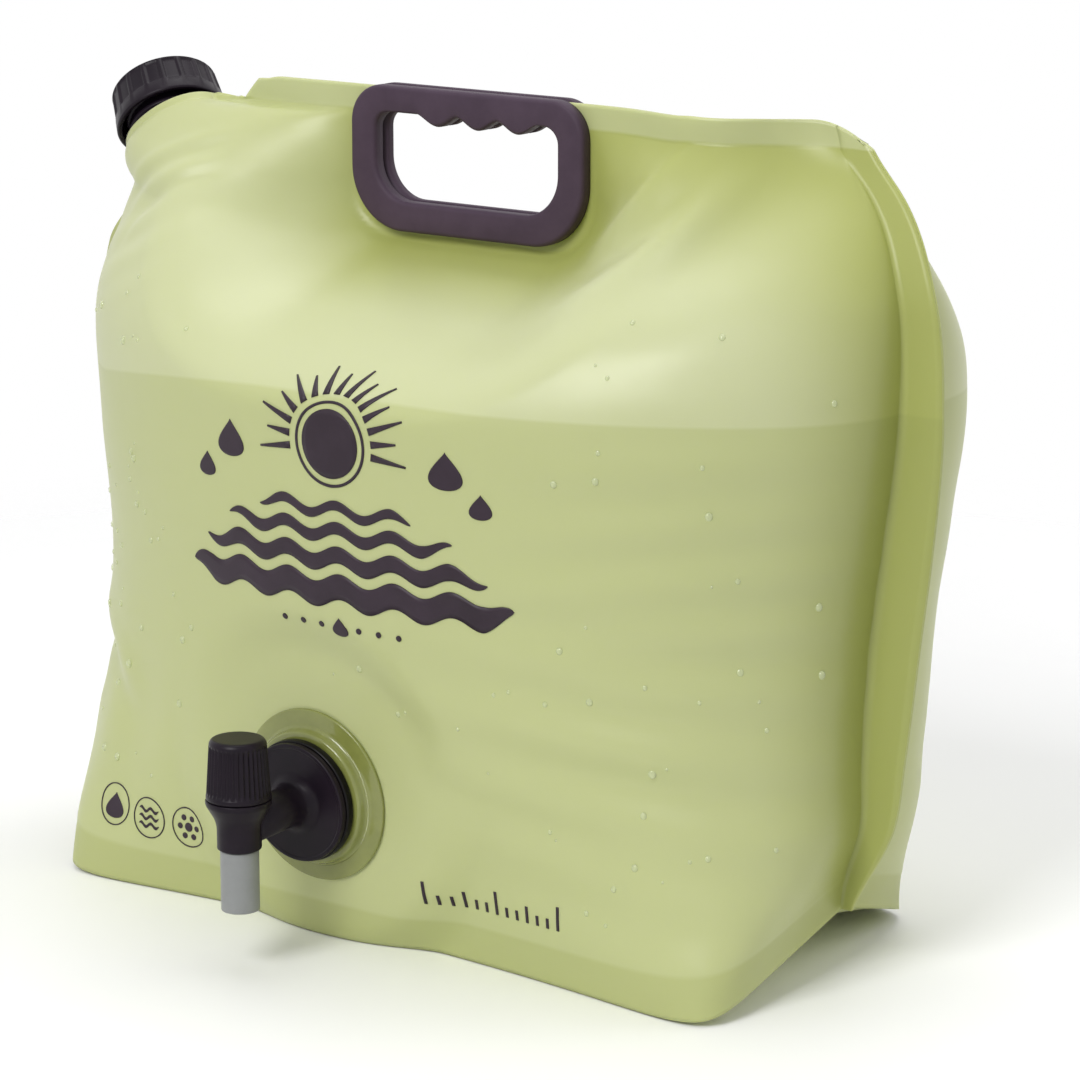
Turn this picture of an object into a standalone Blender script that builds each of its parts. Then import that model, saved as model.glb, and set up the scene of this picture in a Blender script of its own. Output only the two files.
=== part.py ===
"""Collapsible camping water carrier.

A stand-up bag of welded film with a folded bottom, a screw neck in its cut corner,
a two-part carrying handle through the top seal and a dispensing tap low on the front.
Metres, Z up. The origin is on the floor under the middle of the base, the front faces -Y.
"""
import math

import bmesh
import bpy
import numpy as np
from mathutils import Matrix, Vector

# Fits and film
FIT_GAP = 0.0003
FILM = 0.0008
CUT_OVERRUN = 0.002

# Bag, overall
BAG_HEIGHT = 0.2915
BAG_HALF_WIDTH = 0.188
BELLY_HALF_DEPTH = 0.0915
BACK_HALF_DEPTH = 0.089
FRONT_HOLLOW = 0.0143
BACK_HOLLOW = 0.009
FOOT_LIFT = 0.0235
SIDE_SEAM = 0.0125
TOP_SEAL = 0.009
GUSSET_SEAL = 0.013
LEFT_NARROWING = 0.004
RIGHT_COLUMNS = 6
LEFT_COLUMNS = 5
FINE_END_SHARE = 0.95
LOWER_ROWS = 9
LOWER_SPREAD_SHARE = 1.15
LOWER_END_SHARE = 0.58
SHOULDER_ROWS = 7
MOUTH_ROWS = 8
PEAK_ROWS = 2
GUSSET_WALL_SHARES = (1.0, 0.0)
GUSSET_FLAT_SHARE = 0.6
GUSSET_RING_SHARES = (0.97, 0.8)
GUSSET_LIFT_SHARE = 1.5

# Outline of the side seams: height as a share of the bag's height, width as a share of its half width
SEAM_HEIGHT_SHARES = (0.0, 0.08, 0.19, 0.275, 0.42, 0.52, 0.683, 0.816, 0.92, 0.96, 1.0)
SEAM_WIDTH_SHARES = (0.80, 0.833, 0.918, 0.938, 0.965, 0.984, 1.0, 0.979, 0.917, 0.866, 0.824)
# Width of the side seam band from the foot upward, as a share of its full width
BAND_LEVEL_SHARES = (0.0, 0.06, 0.12, 1.0)
BAND_WIDTH_SHARES = (0.3, 0.75, 1.0, 1.0)

# Swell of the panels by level: lower part between base and belly, upper part as a share of the belly
SWELL_LEVEL_SHARES = (0.0, 0.09, 0.2, 0.38, 0.54, 0.66, 0.74, 0.81, 0.88, 0.94, 1.0)
FRONT_SWELL_SHARES = (0.857, 0.865, 0.89, 0.965, 1.0, 0.985, 0.87, 0.67, 0.43, 0.21, 0.0)
BACK_SWELL_SHARES = (0.83, 0.86, 0.91, 0.975, 1.0, 0.985, 0.88, 0.69, 0.45, 0.22, 0.0)
# Exponents of the rounded cross sections, from square corners at the base to a lens at the top
ROUND_LEVEL_SHARES = (0.0, 0.08, 0.17, 0.3, 0.5, 0.75, 0.88, 1.0)
FRONT_RIGHT_ROUND_SHARES = (12.0, 5.2, 3.1, 2.4, 2.15, 2.1, 2.1, 2.1)
FRONT_LEFT_ROUND_SHARES = (12.0, 5.2, 3.1, 2.3, 2.05, 1.9, 1.4, 1.3)
BACK_RIGHT_ROUND_SHARES = (12.0, 6.0, 4.0, 3.3, 3.1, 2.9, 2.4, 2.1)
BACK_LEFT_ROUND_SHARES = (12.0, 5.5, 3.4, 2.8, 2.6, 2.4, 1.6, 1.4)
FRONT_TAPER_SHARE = 0.02
BACK_TAPER_SHARE = 0.105
TAPER_END_SHARE = 0.25
HOLLOW_END_SHARE = 0.28
# Level from which a panel's rows run straight from seam to seam
FOLLOW_END_SHARE = 0.5
# Climb at which the left seam starts to bend in to the mouth, and its band to turn along the neck
LEFT_JOIN_SHARE = 0.8
LEFT_TURN_SHARE = 0.88

# Neck in the cut corner
NECK_INSET = 0.0410
NECK_DROP = 0.0253
NECK_X = NECK_INSET - BAG_HALF_WIDTH
NECK_Y = 0.0015
NECK_Z = BAG_HEIGHT - NECK_DROP
NECK_LEFT_LEAN = math.radians(41.0)
NECK_BACK_LEAN = math.radians(22.0)
MOUTH_RADIUS = 0.0174
MOUTH_REACH = 0.0245
MOUTH_GAP = 0.0005
MOUTH_START_SHARE = 0.79
MOUTH_END_SHARE = 0.97
MOUTH_BAND = 0.0032
PEAK_REACH = 0.0410
PEAK_X = NECK_X + PEAK_REACH
PEAK_LEAN_SHARE = 0.4
PEAK_RISE_SHARE = 0.3
BOAT_HEIGHT = 0.0110
BOAT_TIP_SHARE = 0.86
NECK_BORE_RADIUS = 0.0138
NECK_RADIUS = 0.0158
NECK_BEAD = 0.0011
NECK_BEAD_HEIGHT = 0.0018
NECK_SEGMENTS = 40

# Screw cap and its liner
CAP_RIM_LIFT = 0.0055
CAP_HEIGHT = 0.0162
CAP_RADIUS = 0.0212
CAP_TOP_RADIUS = 0.0199
CAP_WALL = 0.0019
CAP_TOP = 0.0019
CAP_BAND = 0.0052
CAP_ROUND = 0.0016
CAP_RIBS = 18
CAP_RIB_HEIGHT = 0.0007
CAP_POINTS_PER_RIB = 4
LINER_THICKNESS = 0.0016
LINER_RADIUS = 0.0172

# Handle
HANDLE_X = -0.0056
HANDLE_PROUD = 0.0010
HANDLE_TOP = BAG_HEIGHT + HANDLE_PROUD
HANDLE_HEIGHT = 0.0518
HANDLE_HALF_WIDTH = 0.0514
HANDLE_HALF_THICKNESS = 0.0048
HANDLE_ROUND = 0.0018
HANDLE_TOP_CORNER = 0.0135
HANDLE_BOTTOM_CORNER = 0.0225
GRIP_HALF_WIDTH = 0.0402
GRIP_TOP_BAR = 0.0094
GRIP_BOTTOM_BAR = 0.0108
GRIP_TOP_CORNER = 0.0062
GRIP_BOTTOM_CORNER = 0.0150
GRIP_BUMP = 0.0038
GRIP_BUMP_PITCH = 0.0176
GRIP_BUMP_SHIFT = 0.0052
GRIP_BUMP_SHARE = 0.8
GRIP_BUMPS = 3
GRIP_BUMP_POINTS = 8
CORNER_STEPS = 5
ROUND_STEPS = 2
FILM_SETBACK = 0.0022
PIN_RADIUS = 0.0021
PIN_LENGTH = 0.0050
PIN_SEGMENTS = 12
PINCH_REACH = 0.040
PINCH_MARGIN = 0.010

# Tap seat on the front panel
TAP_X = -0.016
TAP_SEAT_INSET = 0.0130
TAP_Y = TAP_SEAT_INSET - BELLY_HALF_DEPTH
TAP_Z = 0.053
TAP_TILT = math.radians(3.0)
SEAT_MARGIN = 0.018
SEAT_BLEND = 0.022
INSERT_RADIUS = 0.0312
INSERT_FLANGE = 0.0016
INSERT_STEP_RADIUS = 0.0238
INSERT_STEP = 0.0036
INSERT_SLOPE = 0.0012
INSERT_BOSS_RADIUS = 0.0142
INSERT_BOSS = 0.0085
SPIGOT_RADIUS = 0.0108
SPIGOT_REACH = 0.0075
WASHER_RADIUS = 0.0219
WASHER_THICKNESS = 0.0032
WASHER_EDGE = 0.0007
DISC_RADIUS = 0.0213
DISC_THICKNESS = 0.0024
DISC_EDGE = 0.0006

# Tap body
BARREL_REACH = 0.0410
STUB_RADIUS = 0.0072
STUB_ROOT_RADIUS = 0.0098
STUB_ROOT = 0.0030
CHANNEL_RADIUS = 0.0042
BARREL_RADIUS = 0.0077
BARREL_BOTTOM = 0.0436
BARREL_TOP = 0.0612
BARREL_FLANGE_RADIUS = 0.0115
BARREL_FLANGE = 0.0014
BARREL_SHOULDER = 0.0058
CHAMBER_RADIUS = 0.0055
SEAT_THICKNESS = 0.0015
SEAT_RADIUS = 0.0030
NIPPLE_RADIUS = 0.0048
NIPPLE_LENGTH = 0.0095
TUBE_RADIUS = 0.0067
TUBE_BOTTOM = 0.0216
TAP_SEGMENTS = 32

# Tap bonnet, stem, plug and knob
BONNET_RADIUS = 0.0078
BONNET_HEIGHT = 0.0062
BONNET_NECK = 0.0042
STEM_RADIUS = 0.0026
STEM_FOOT = 0.0016
STEM_FOOT_LENGTH = 0.0026
RING_WIRE = 0.0009
RING_SEGMENTS = 24
PLUG_RADIUS = 0.0042
PLUG_HEIGHT = 0.0044
KNOB_RADIUS = 0.0112
KNOB_TOP_RADIUS = 0.0098
KNOB_HEIGHT = 0.0212
KNOB_WALL = 0.0016
KNOB_TOP = 0.0030
KNOB_BAND = 0.0016
KNOB_ROUND = 0.0012
KNOB_CROWN = 0.0022
KNOB_FLUTES = 36
KNOB_FLUTE_DEPTH = 0.00055
KNOB_POINTS_PER_FLUTE = 2
KNOB_BOSS_RADIUS = 0.0050
KNOB_BOSS = 0.0085

# Shading and colours
SMOOTH_ANGLE = math.radians(35.0)
FILM_SMOOTH_ANGLE = math.radians(80.0)
FILM_GREEN = (0.55, 0.62, 0.27)
FITTING_GREEN = (0.45, 0.52, 0.17)
DARK_PLUM = (0.036, 0.021, 0.043)
MATT_PLUM = (0.068, 0.045, 0.073)
SOFT_BLACK = (0.012, 0.010, 0.013)
TUBE_GREY = (0.33, 0.34, 0.34)
LINER_WHITE = (0.80, 0.80, 0.76)


def clear_scene():
    """Take every object out of the open scene."""
    for item in list(bpy.data.objects):
        bpy.data.objects.remove(item, do_unlink=True)


def finish(name, colour, roughness, metallic=0.0):
    """Plain surface with one colour."""
    material = bpy.data.materials.new(name)
    material.use_nodes = True
    shader = material.node_tree.nodes["Principled BSDF"]
    shader.inputs["Base Color"].default_value = (*colour, 1.0)
    shader.inputs["Roughness"].default_value = roughness
    shader.inputs["Metallic"].default_value = metallic
    material.diffuse_color = (*colour, 1.0)
    return material


def add_part(name, mesh, material=None, frame=None, smooth_angle=SMOOTH_ANGLE):
    """Put a mesh in the scene as one named object."""
    part = bpy.data.objects.new(name, mesh)
    bpy.context.scene.collection.objects.link(part)
    if frame is not None:
        part.matrix_world = frame
    if material is not None:
        mesh.materials.append(material)
        mesh.shade_smooth()
        mesh.set_sharp_from_angle(angle=smooth_angle)
    return part


def add_cutter(name, mesh, frame=None):
    """Put a shape in the scene that only cuts or joins others."""
    cutter = add_part(name, mesh, frame=frame)
    cutter.display_type = "WIRE"
    cutter.hide_render = True
    return cutter


def combine(part, other, operation):
    """Join or cut a part with another shape."""
    step = part.modifiers.new(operation.lower() + "_" + other.name, "BOOLEAN")
    step.operation = operation
    step.solver = "EXACT"
    step.object = other
    return step


def mesh_from(name, points, faces, triangles=False):
    """Closed mesh with its faces turned outward; the quads of film are split along their short diagonal."""
    mesh = bpy.data.meshes.new(name)
    mesh.from_pydata([tuple(float(value) for value in point) for point in points], [], faces)
    work = bmesh.new()
    work.from_mesh(mesh)
    if triangles:
        quads = [face for face in work.faces if len(face.verts) == 4]
        bmesh.ops.triangulate(work, faces=quads, quad_method="SHORT_EDGE")
    bmesh.ops.recalc_face_normals(work, faces=work.faces)
    work.to_mesh(mesh)
    work.free()
    return mesh


def turned_mesh(name, outline, segments, wave=None, turn=0.0):
    """Solid of revolution about local Z from a closed outline of (radius, height[, wave share]).

    A point on the axis becomes one vertex; the wave moves a ring in and out with the angle.
    """
    points, rings, faces = [], [], []
    for entry in outline:
        radius, height = entry[0], entry[1]
        share = entry[2] if len(entry) > 2 else 0.0
        if radius == 0:
            rings.append([len(points)] * segments)
            points.append((0.0, 0.0, height))
            continue
        ring = []
        for k in range(segments):
            angle = turn + 2 * math.pi * k / segments
            reach = radius + (share * wave(angle) if wave else 0.0)
            ring.append(len(points))
            points.append((reach * math.cos(angle), reach * math.sin(angle), height))
        rings.append(ring)
    on_axis = outline[0][0] == 0 and outline[-1][0] == 0
    pairs = list(zip(rings, rings[1:])) + ([] if on_axis else [(rings[-1], rings[0])])
    for low, high in pairs:
        for k in range(segments):
            n = (k + 1) % segments
            corners = [low[k], low[n], high[n], high[k]]
            face = [c for i, c in enumerate(corners) if c != corners[i - 1]]
            if len(face) > 2:
                faces.append(face)
    return mesh_from(name, points, faces)


def smooth_table(places, values, at):
    """Cubic curve through a table of values, with slopes taken from the neighbours."""
    places, values = np.asarray(places, float), np.asarray(values, float)
    slopes = np.gradient(values, places)
    k = np.clip(np.searchsorted(places, at, side="right") - 1, 0, len(places) - 2)
    step = places[k + 1] - places[k]
    t = np.clip((at - places[k]) / step, 0.0, 1.0)
    return ((2 * t**3 - 3 * t**2 + 1) * values[k] + (t**3 - 2 * t**2 + t) * step * slopes[k]
            + (3 * t**2 - 2 * t**3) * values[k + 1] + (t**3 - t**2) * step * slopes[k + 1])


def soft_step(low, high, value):
    """Rises smoothly from 0 at low to 1 at high."""
    t = np.clip((value - low) / (high - low), 0.0, 1.0)
    return t * t * (3 - 2 * t)


def neck_frame():
    """Frame at the film's edge on the neck's axis, which leans left and back, local X along the cut."""
    along = Vector((math.cos(NECK_LEFT_LEAN), 0.0, math.sin(NECK_LEFT_LEAN)))
    axis = Vector((-math.sin(NECK_LEFT_LEAN) * math.cos(NECK_BACK_LEAN), math.sin(NECK_BACK_LEAN),
                   math.cos(NECK_LEFT_LEAN) * math.cos(NECK_BACK_LEAN)))
    frame = Matrix((along, axis.cross(along), axis)).transposed().to_4x4()
    frame.translation = Vector((NECK_X, NECK_Y, NECK_Z))
    return frame


def mouth_outline(angle, grow):
    """Point round the neck's weld base: round on its left, drawn out towards the peak on its right."""
    length = MOUTH_REACH if math.cos(angle) > 0 else MOUTH_RADIUS
    return (length + grow) * math.cos(angle), (MOUTH_RADIUS + grow) * math.sin(angle)


def mouth_point(angle, height):
    """Point of the open corner's edge in the world; height runs along the neck's axis."""
    along, across = mouth_outline(angle, MOUTH_GAP + FILM)
    return np.array(neck_frame() @ Vector((along, across, height)))


def tap_frame():
    """Frame on the tap's axis at the front panel's outer face, local Z pointing away from the bag."""
    out = Vector((0.0, -math.cos(TAP_TILT), -math.sin(TAP_TILT)))
    side = Vector((1.0, 0.0, 0.0))
    frame = Matrix((side, out.cross(side), out)).transposed().to_4x4()
    frame.translation = Vector((TAP_X, TAP_Y, TAP_Z))
    return frame


def barrel_frame():
    """Upright frame on the barrel's axis, at floor height."""
    axis_point = tap_frame() @ Vector((0.0, 0.0, BARREL_REACH))
    return Matrix.Translation((axis_point.x, axis_point.y, 0.0))


def seam_edges(level, side):
    """Inner and outer line of both side seams at one level, as (left, left_out, right, right_out).

    The left line leaves the side at the cut corner, runs round the mouth and ends at the peak.
    side is -1 for the front panel and 1 for the back one.
    """
    seal_top = BAG_HEIGHT - TOP_SEAL
    band = SIDE_SEAM * smooth_table(BAND_LEVEL_SHARES, BAND_WIDTH_SHARES, level)
    z_right = FOOT_LIFT + level * (seal_top - FOOT_LIFT)
    wide = BAG_HALF_WIDTH * smooth_table(SEAM_HEIGHT_SHARES, SEAM_WIDTH_SHARES, z_right / BAG_HEIGHT)
    right = np.array((wide - band, 0.0, z_right))
    right_out = np.array((wide, 0.0, z_right))
    start, end = mouth_point(math.pi, -MOUTH_BAND), mouth_point(0.0, -MOUTH_BAND)
    up = mouth_point(math.pi, 0.0) - start
    outward = np.array((-band, 0.0, 0.0))
    if level <= MOUTH_START_SHARE:
        climb = level / MOUTH_START_SHARE
        z_left = FOOT_LIFT + climb * (start[2] - FOOT_LIFT)
        wide_left = BAG_HALF_WIDTH * smooth_table(SEAM_HEIGHT_SHARES, SEAM_WIDTH_SHARES, z_left / BAG_HEIGHT)
        left = np.array((band - wide_left + LEFT_NARROWING, 0.0, z_left))
        join = soft_step(LEFT_JOIN_SHARE, 1.0, climb)
        left[0] = left[0] * (1 - join) + start[0] * join
        turn = soft_step(LEFT_TURN_SHARE, 1.0, climb)
        left_out = left + outward * (1 - turn) + up * turn
    elif level <= MOUTH_END_SHARE:
        angle = math.pi * (MOUTH_END_SHARE - level) / (MOUTH_END_SHARE - MOUTH_START_SHARE)
        left = mouth_point(side * angle, -MOUTH_BAND)
        left_out = left + up
    else:
        rise = (level - MOUTH_END_SHARE) / (1 - MOUTH_END_SHARE)
        left = end + rise * (np.array((PEAK_X, 0.0, seal_top)) - end)
        peak = np.array((-PEAK_LEAN_SHARE * SIDE_SEAM, 0.0, PEAK_RISE_SHARE * TOP_SEAL))
        left_out = left + up * (1 - rise) + peak * rise
    return left, left_out, right, right_out


def handle_pinch(x, z):
    """Share of the swell near the handle, which holds the film flat: a quarter sine from 0 at it to 1."""
    middle = HANDLE_TOP - HANDLE_HEIGHT / 2
    over_x = np.maximum(np.abs(x - HANDLE_X) - HANDLE_HALF_WIDTH, 0.0)
    over_z = np.maximum(np.abs(z - middle) - HANDLE_HEIGHT / 2, 0.0)
    away = np.clip((np.hypot(over_x, over_z) - PINCH_MARGIN) / PINCH_REACH, 0.0, 1.0)
    return np.sin(math.pi / 2 * away)


def settle_on_seat(points):
    """Move the film round the tap onto the flat plane that the tap's flange is welded to."""
    frame = tap_frame()
    out = np.array(frame.to_3x3() @ Vector((0.0, 0.0, 1.0)))
    away = points - np.array(frame.translation)
    height = away @ out
    radius = np.linalg.norm(away - height[..., None] * out, axis=-1)
    rim = INSERT_RADIUS + SEAT_MARGIN
    hold = 1 - soft_step(rim, rim + SEAT_BLEND, radius)
    return points - (height * hold)[..., None] * out


def panel_turns():
    """Turns of a panel's columns from the right seam to the left one, with fine cells at the handle."""
    right = BAG_HALF_WIDTH * SEAM_WIDTH_SHARES[-1] - SIDE_SEAM
    middle, half = (right + PEAK_X) / 2, (right - PEAK_X) / 2
    reach = HANDLE_HALF_WIDTH + 2 * PINCH_MARGIN
    start = math.acos(min((HANDLE_X + reach - middle) / half, FINE_END_SHARE))
    end = math.acos(max((HANDLE_X - reach - middle) / half, -FINE_END_SHARE))
    fine = math.ceil(half * (end - start) / PINCH_MARGIN)
    return np.concatenate((np.linspace(0.0, start, RIGHT_COLUMNS, endpoint=False),
                           np.linspace(start, end, fine, endpoint=False),
                           np.linspace(end, math.pi, LEFT_COLUMNS + 1)))


def panel_row(level, side, turn, seam_y):
    """One level of a panel's outer face from the right seam to the left one, without the seam bands."""
    left, _, right, _ = seam_edges(level, side)
    if side < 0:
        swell = BELLY_HALF_DEPTH * smooth_table(SWELL_LEVEL_SHARES, FRONT_SWELL_SHARES, level)
        tables = (FRONT_RIGHT_ROUND_SHARES, FRONT_LEFT_ROUND_SHARES)
        taper, depth = FRONT_TAPER_SHARE, FRONT_HOLLOW
    else:
        swell = BACK_HALF_DEPTH * smooth_table(SWELL_LEVEL_SHARES, BACK_SWELL_SHARES, level)
        tables = (BACK_RIGHT_ROUND_SHARES, BACK_LEFT_ROUND_SHARES)
        taper, depth = BACK_TAPER_SHARE, BACK_HOLLOW
    round_right = smooth_table(ROUND_LEVEL_SHARES, tables[0], level)
    round_left = smooth_table(ROUND_LEVEL_SHARES, tables[1], level)
    power = np.where(turn <= math.pi / 2, round_right, round_left)
    reach = (np.abs(np.cos(turn)) ** power + np.abs(np.sin(turn)) ** power) ** (-1 / power)
    rise = reach * np.sin(turn)
    rise[-1] = 0.0
    across = reach * np.cos(turn)
    across = across * (1 - taper * (1 - soft_step(0.0, TAPER_END_SHARE, level)) * rise)
    share = (across + 1) / 2
    x = left[0] + (right[0] - left[0]) * share
    middle_z = level * (BAG_HEIGHT - TOP_SEAL)
    side_z = left[2] + (right[2] - left[2]) * share
    follow = soft_step(0.0, FOLLOW_END_SHARE, level)
    z = middle_z + (side_z - middle_z) * ((1 - rise) * (1 - follow) + follow)
    hollow = depth * (1 - soft_step(0.0, HOLLOW_END_SHARE, level)) * (1 - across**2) * rise
    loose = handle_pinch(x, z)
    y = side * (seam_y + swell * rise * loose - hollow) + left[1] * (1 - share) ** 3 * loose
    return np.stack((x, y, z), axis=-1)


def panel_levels():
    """Levels of a panel's rows: the side, the shoulder, the mouth and the short rise to the peak."""
    side = LOWER_END_SHARE * (np.arange(LOWER_ROWS) / LOWER_ROWS) ** LOWER_SPREAD_SHARE
    rise = MOUTH_START_SHARE - LOWER_END_SHARE
    shoulder = LOWER_END_SHARE + rise * np.arange(SHOULDER_ROWS) / SHOULDER_ROWS
    mouth = MOUTH_START_SHARE + (MOUTH_END_SHARE - MOUTH_START_SHARE) * np.arange(MOUTH_ROWS) / MOUTH_ROWS
    peak = MOUTH_END_SHARE + (1 - MOUTH_END_SHARE) * np.arange(PEAK_ROWS + 1) / PEAK_ROWS
    return np.concatenate((side, shoulder, mouth, peak))


def panel_face(side):
    """Outer face of a panel with its seam bands, as a grid of points."""
    seam_y = FIT_GAP / 2 + FILM
    rows = []
    for level in panel_levels():
        _, left_out, _, right_out = seam_edges(level, side)
        row = panel_row(level, side, panel_turns(), seam_y)
        left_out[1] += side * seam_y
        right_out[1] += side * seam_y
        rows.append(np.vstack((right_out, row, left_out)))
    top = rows[-1].copy()
    top[:, 2] += TOP_SEAL
    top[0, 0] = BAG_HALF_WIDTH * SEAM_WIDTH_SHARES[-1]
    top[-1, 2] -= TOP_SEAL / 2
    rows.append(top)
    return np.array(rows)


def face_normals(grid):
    """Unit normals of a grid of points, from the slopes to the neighbours."""
    along = np.gradient(grid, axis=1)
    up = np.gradient(grid, axis=0)
    normal = np.cross(along, up)
    return normal / np.linalg.norm(normal, axis=-1, keepdims=True)


def sheet_solid(outer, inner, loop=False):
    """Closed thin solid between two grids of the same shape; loop joins the last column to the first."""
    rows, columns = outer.shape[:2]
    points = np.vstack((outer.reshape(-1, 3), inner.reshape(-1, 3)))
    size = rows * columns
    faces = []
    steps = columns if loop else columns - 1
    for r in range(rows - 1):
        for c in range(steps):
            n = (c + 1) % columns
            a, b, d, e = r * columns + c, r * columns + n, (r + 1) * columns + n, (r + 1) * columns + c
            faces.append((a, b, d, e))
            faces.append((size + e, size + d, size + b, size + a))
    for c in range(steps):
        n = (c + 1) % columns
        top = (rows - 1) * columns
        faces.append((c, size + c, size + n, n))
        faces.append((top + n, size + top + n, size + top + c, top + c))
    if not loop:
        for r in range(rows - 1):
            a, b = r * columns, (r + 1) * columns
            faces.append((b, size + b, size + a, a))
            a, b = a + columns - 1, b + columns - 1
            faces.append((a, size + a, size + b, b))
    return points, faces


def panel(name, side, material):
    """Front or back film panel, swelled, with its seam bands."""
    outer = panel_face(side)
    if side < 0:
        outer = settle_on_seat(outer)
    normal = face_normals(outer)
    normal = normal * side * np.sign(normal[:, :, 1].mean())
    inner = outer - FILM * normal
    for grid in (outer, inner):
        grid[:, :, 2] = np.maximum(grid[:, :, 2], 0.0)
    points, faces = sheet_solid(outer, inner)
    mesh = mesh_from(name, points, faces, triangles=True)
    return add_part(name, mesh, material, smooth_angle=FILM_SMOOTH_ANGLE)


def gusset_ring(level, inset):
    """Closed ring that runs inside both panels at one level."""
    turn = panel_turns()
    front = panel_row(level, -1, turn, 0.0)
    back = panel_row(level, 1, turn, 0.0)
    ring = np.vstack((front[:-1], back[::-1][:-1]))
    ahead, behind = np.roll(ring, -1, axis=0), np.roll(ring, 1, axis=0)
    run = (ahead - behind)[:, :2]
    out = np.stack((-run[:, 1], run[:, 0]), axis=-1)
    out = out / np.linalg.norm(out, axis=-1, keepdims=True)
    out = out * np.sign((out * ring[:, :2]).sum(axis=-1).mean())
    moved = ring.copy()
    moved[:, :2] -= inset * out
    return moved


def gusset_shell(inset, floor):
    """Rings of the bottom fold from its upper rim down the wall and in along the floor."""
    top_level = GUSSET_SEAL / (BAG_HEIGHT - TOP_SEAL)
    rings = [gusset_ring(top_level * share, inset) for share in GUSSET_WALL_SHARES]
    edge = rings[-1]
    for share in GUSSET_RING_SHARES + (GUSSET_FLAT_SHARE,):
        ring = edge * share
        lift = max(0.0, (share - GUSSET_FLAT_SHARE) / (1 - GUSSET_FLAT_SHARE)) ** GUSSET_LIFT_SHARE
        ring[:, 2] = edge[:, 2] * lift
        rings.append(ring)
    shell = np.array(rings)
    shell[len(GUSSET_WALL_SHARES) - 1:, :, 2] += floor
    return shell


def bottom_gusset(material):
    """Folded bottom panel: a shallow tray welded inside the skirts, flat where the bag rests."""
    inset = FILM + FIT_GAP
    outer = gusset_shell(inset + FIT_GAP / 2, 0.0)
    inner = gusset_shell(inset + FIT_GAP / 2 + FILM, FILM)
    points, faces = sheet_solid(outer, inner, loop=True)
    rows, columns = outer.shape[:2]
    size = rows * columns
    last = (rows - 1) * columns
    inmost = set(range(last, size)) | set(range(size + last, 2 * size))
    faces = [face for face in faces if not inmost.issuperset(face)]
    faces.append([last + c for c in range(columns)])
    faces.append([size + last + c for c in reversed(range(columns))])
    mesh = mesh_from("bottom_gusset", points, faces, triangles=True)
    return add_part("bottom_gusset", mesh, material)


def arc(centre, radius, start, end, steps):
    """Points of an arc, both ends included."""
    turn = [start + (end - start) * k / steps for k in range(steps + 1)]
    return [(centre[0] + radius * math.cos(a), centre[1] + radius * math.sin(a)) for a in turn]


def handle_outline(inset):
    """Outer edge of a handle half, counter-clockwise from the lower left corner."""
    left, right = HANDLE_X - HANDLE_HALF_WIDTH, HANDLE_X + HANDLE_HALF_WIDTH
    low, high = HANDLE_TOP - HANDLE_HEIGHT, HANDLE_TOP
    big, small = HANDLE_BOTTOM_CORNER, HANDLE_TOP_CORNER
    quarter = math.pi / 2
    points = arc((left + big, low + big), big - inset, -2 * quarter, -quarter, CORNER_STEPS + 2)
    points += arc((right - big, low + big), big - inset, -quarter, 0.0, CORNER_STEPS + 2)
    points += arc((right - small, high - small), small - inset, 0.0, quarter, CORNER_STEPS)
    points += arc((left + small, high - small), small - inset, quarter, 2 * quarter, CORNER_STEPS)
    return points


def grip_outline(grow, bumps=True):
    """Edge of the hand opening, counter-clockwise, with finger bumps along its top."""
    left, right = HANDLE_X - GRIP_HALF_WIDTH, HANDLE_X + GRIP_HALF_WIDTH
    low, high = HANDLE_TOP - HANDLE_HEIGHT + GRIP_BOTTOM_BAR, HANDLE_TOP - GRIP_TOP_BAR
    big, small = GRIP_BOTTOM_CORNER, GRIP_TOP_CORNER
    quarter = math.pi / 2
    points = arc((left + big, low + big), big + grow, -2 * quarter, -quarter, CORNER_STEPS)
    points += arc((right - big, low + big), big + grow, -quarter, 0.0, CORNER_STEPS)
    points += arc((right - small, high - small), small + grow, 0.0, quarter, CORNER_STEPS - 1)
    if bumps:
        count = GRIP_BUMPS * GRIP_BUMP_POINTS
        span = GRIP_BUMPS * GRIP_BUMP_PITCH
        middle = HANDLE_X + GRIP_BUMP_SHIFT
        for k in range(count + 1):
            share = k / count
            x = middle + span / 2 - span * share
            drop = (0.5 - 0.5 * math.cos(2 * math.pi * GRIP_BUMPS * share)) ** GRIP_BUMP_SHARE
            points.append((x, high + grow - GRIP_BUMP * drop))
    points += arc((left + small, high - small), small + grow, quarter, 2 * quarter, CORNER_STEPS - 1)
    return points


def plate_mesh(name, layers):
    """Plate with one opening, from layers of (y, outer loop, inner loop), first face to last face."""
    work = bmesh.new()
    loops = []
    for y, outer, inner in layers:
        loops.append([[work.verts.new((x, y, z)) for x, z in loop] for loop in (outer, inner)])
    for low, high in zip(loops, loops[1:]):
        for ring_low, ring_high in zip(low, high):
            count = len(ring_low)
            for k in range(count):
                n = (k + 1) % count
                work.faces.new((ring_low[k], ring_low[n], ring_high[n], ring_high[k]))
    for pair in (loops[0], loops[-1]):
        edges = []
        for ring in pair:
            for k in range(len(ring)):
                edge = work.edges.get((ring[k], ring[(k + 1) % len(ring)]))
                edges.append(edge)
        bmesh.ops.triangle_fill(work, use_beauty=True, edges=edges)
    bmesh.ops.recalc_face_normals(work, faces=work.faces)
    mesh = bpy.data.meshes.new(name)
    work.to_mesh(mesh)
    work.free()
    return mesh


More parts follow.
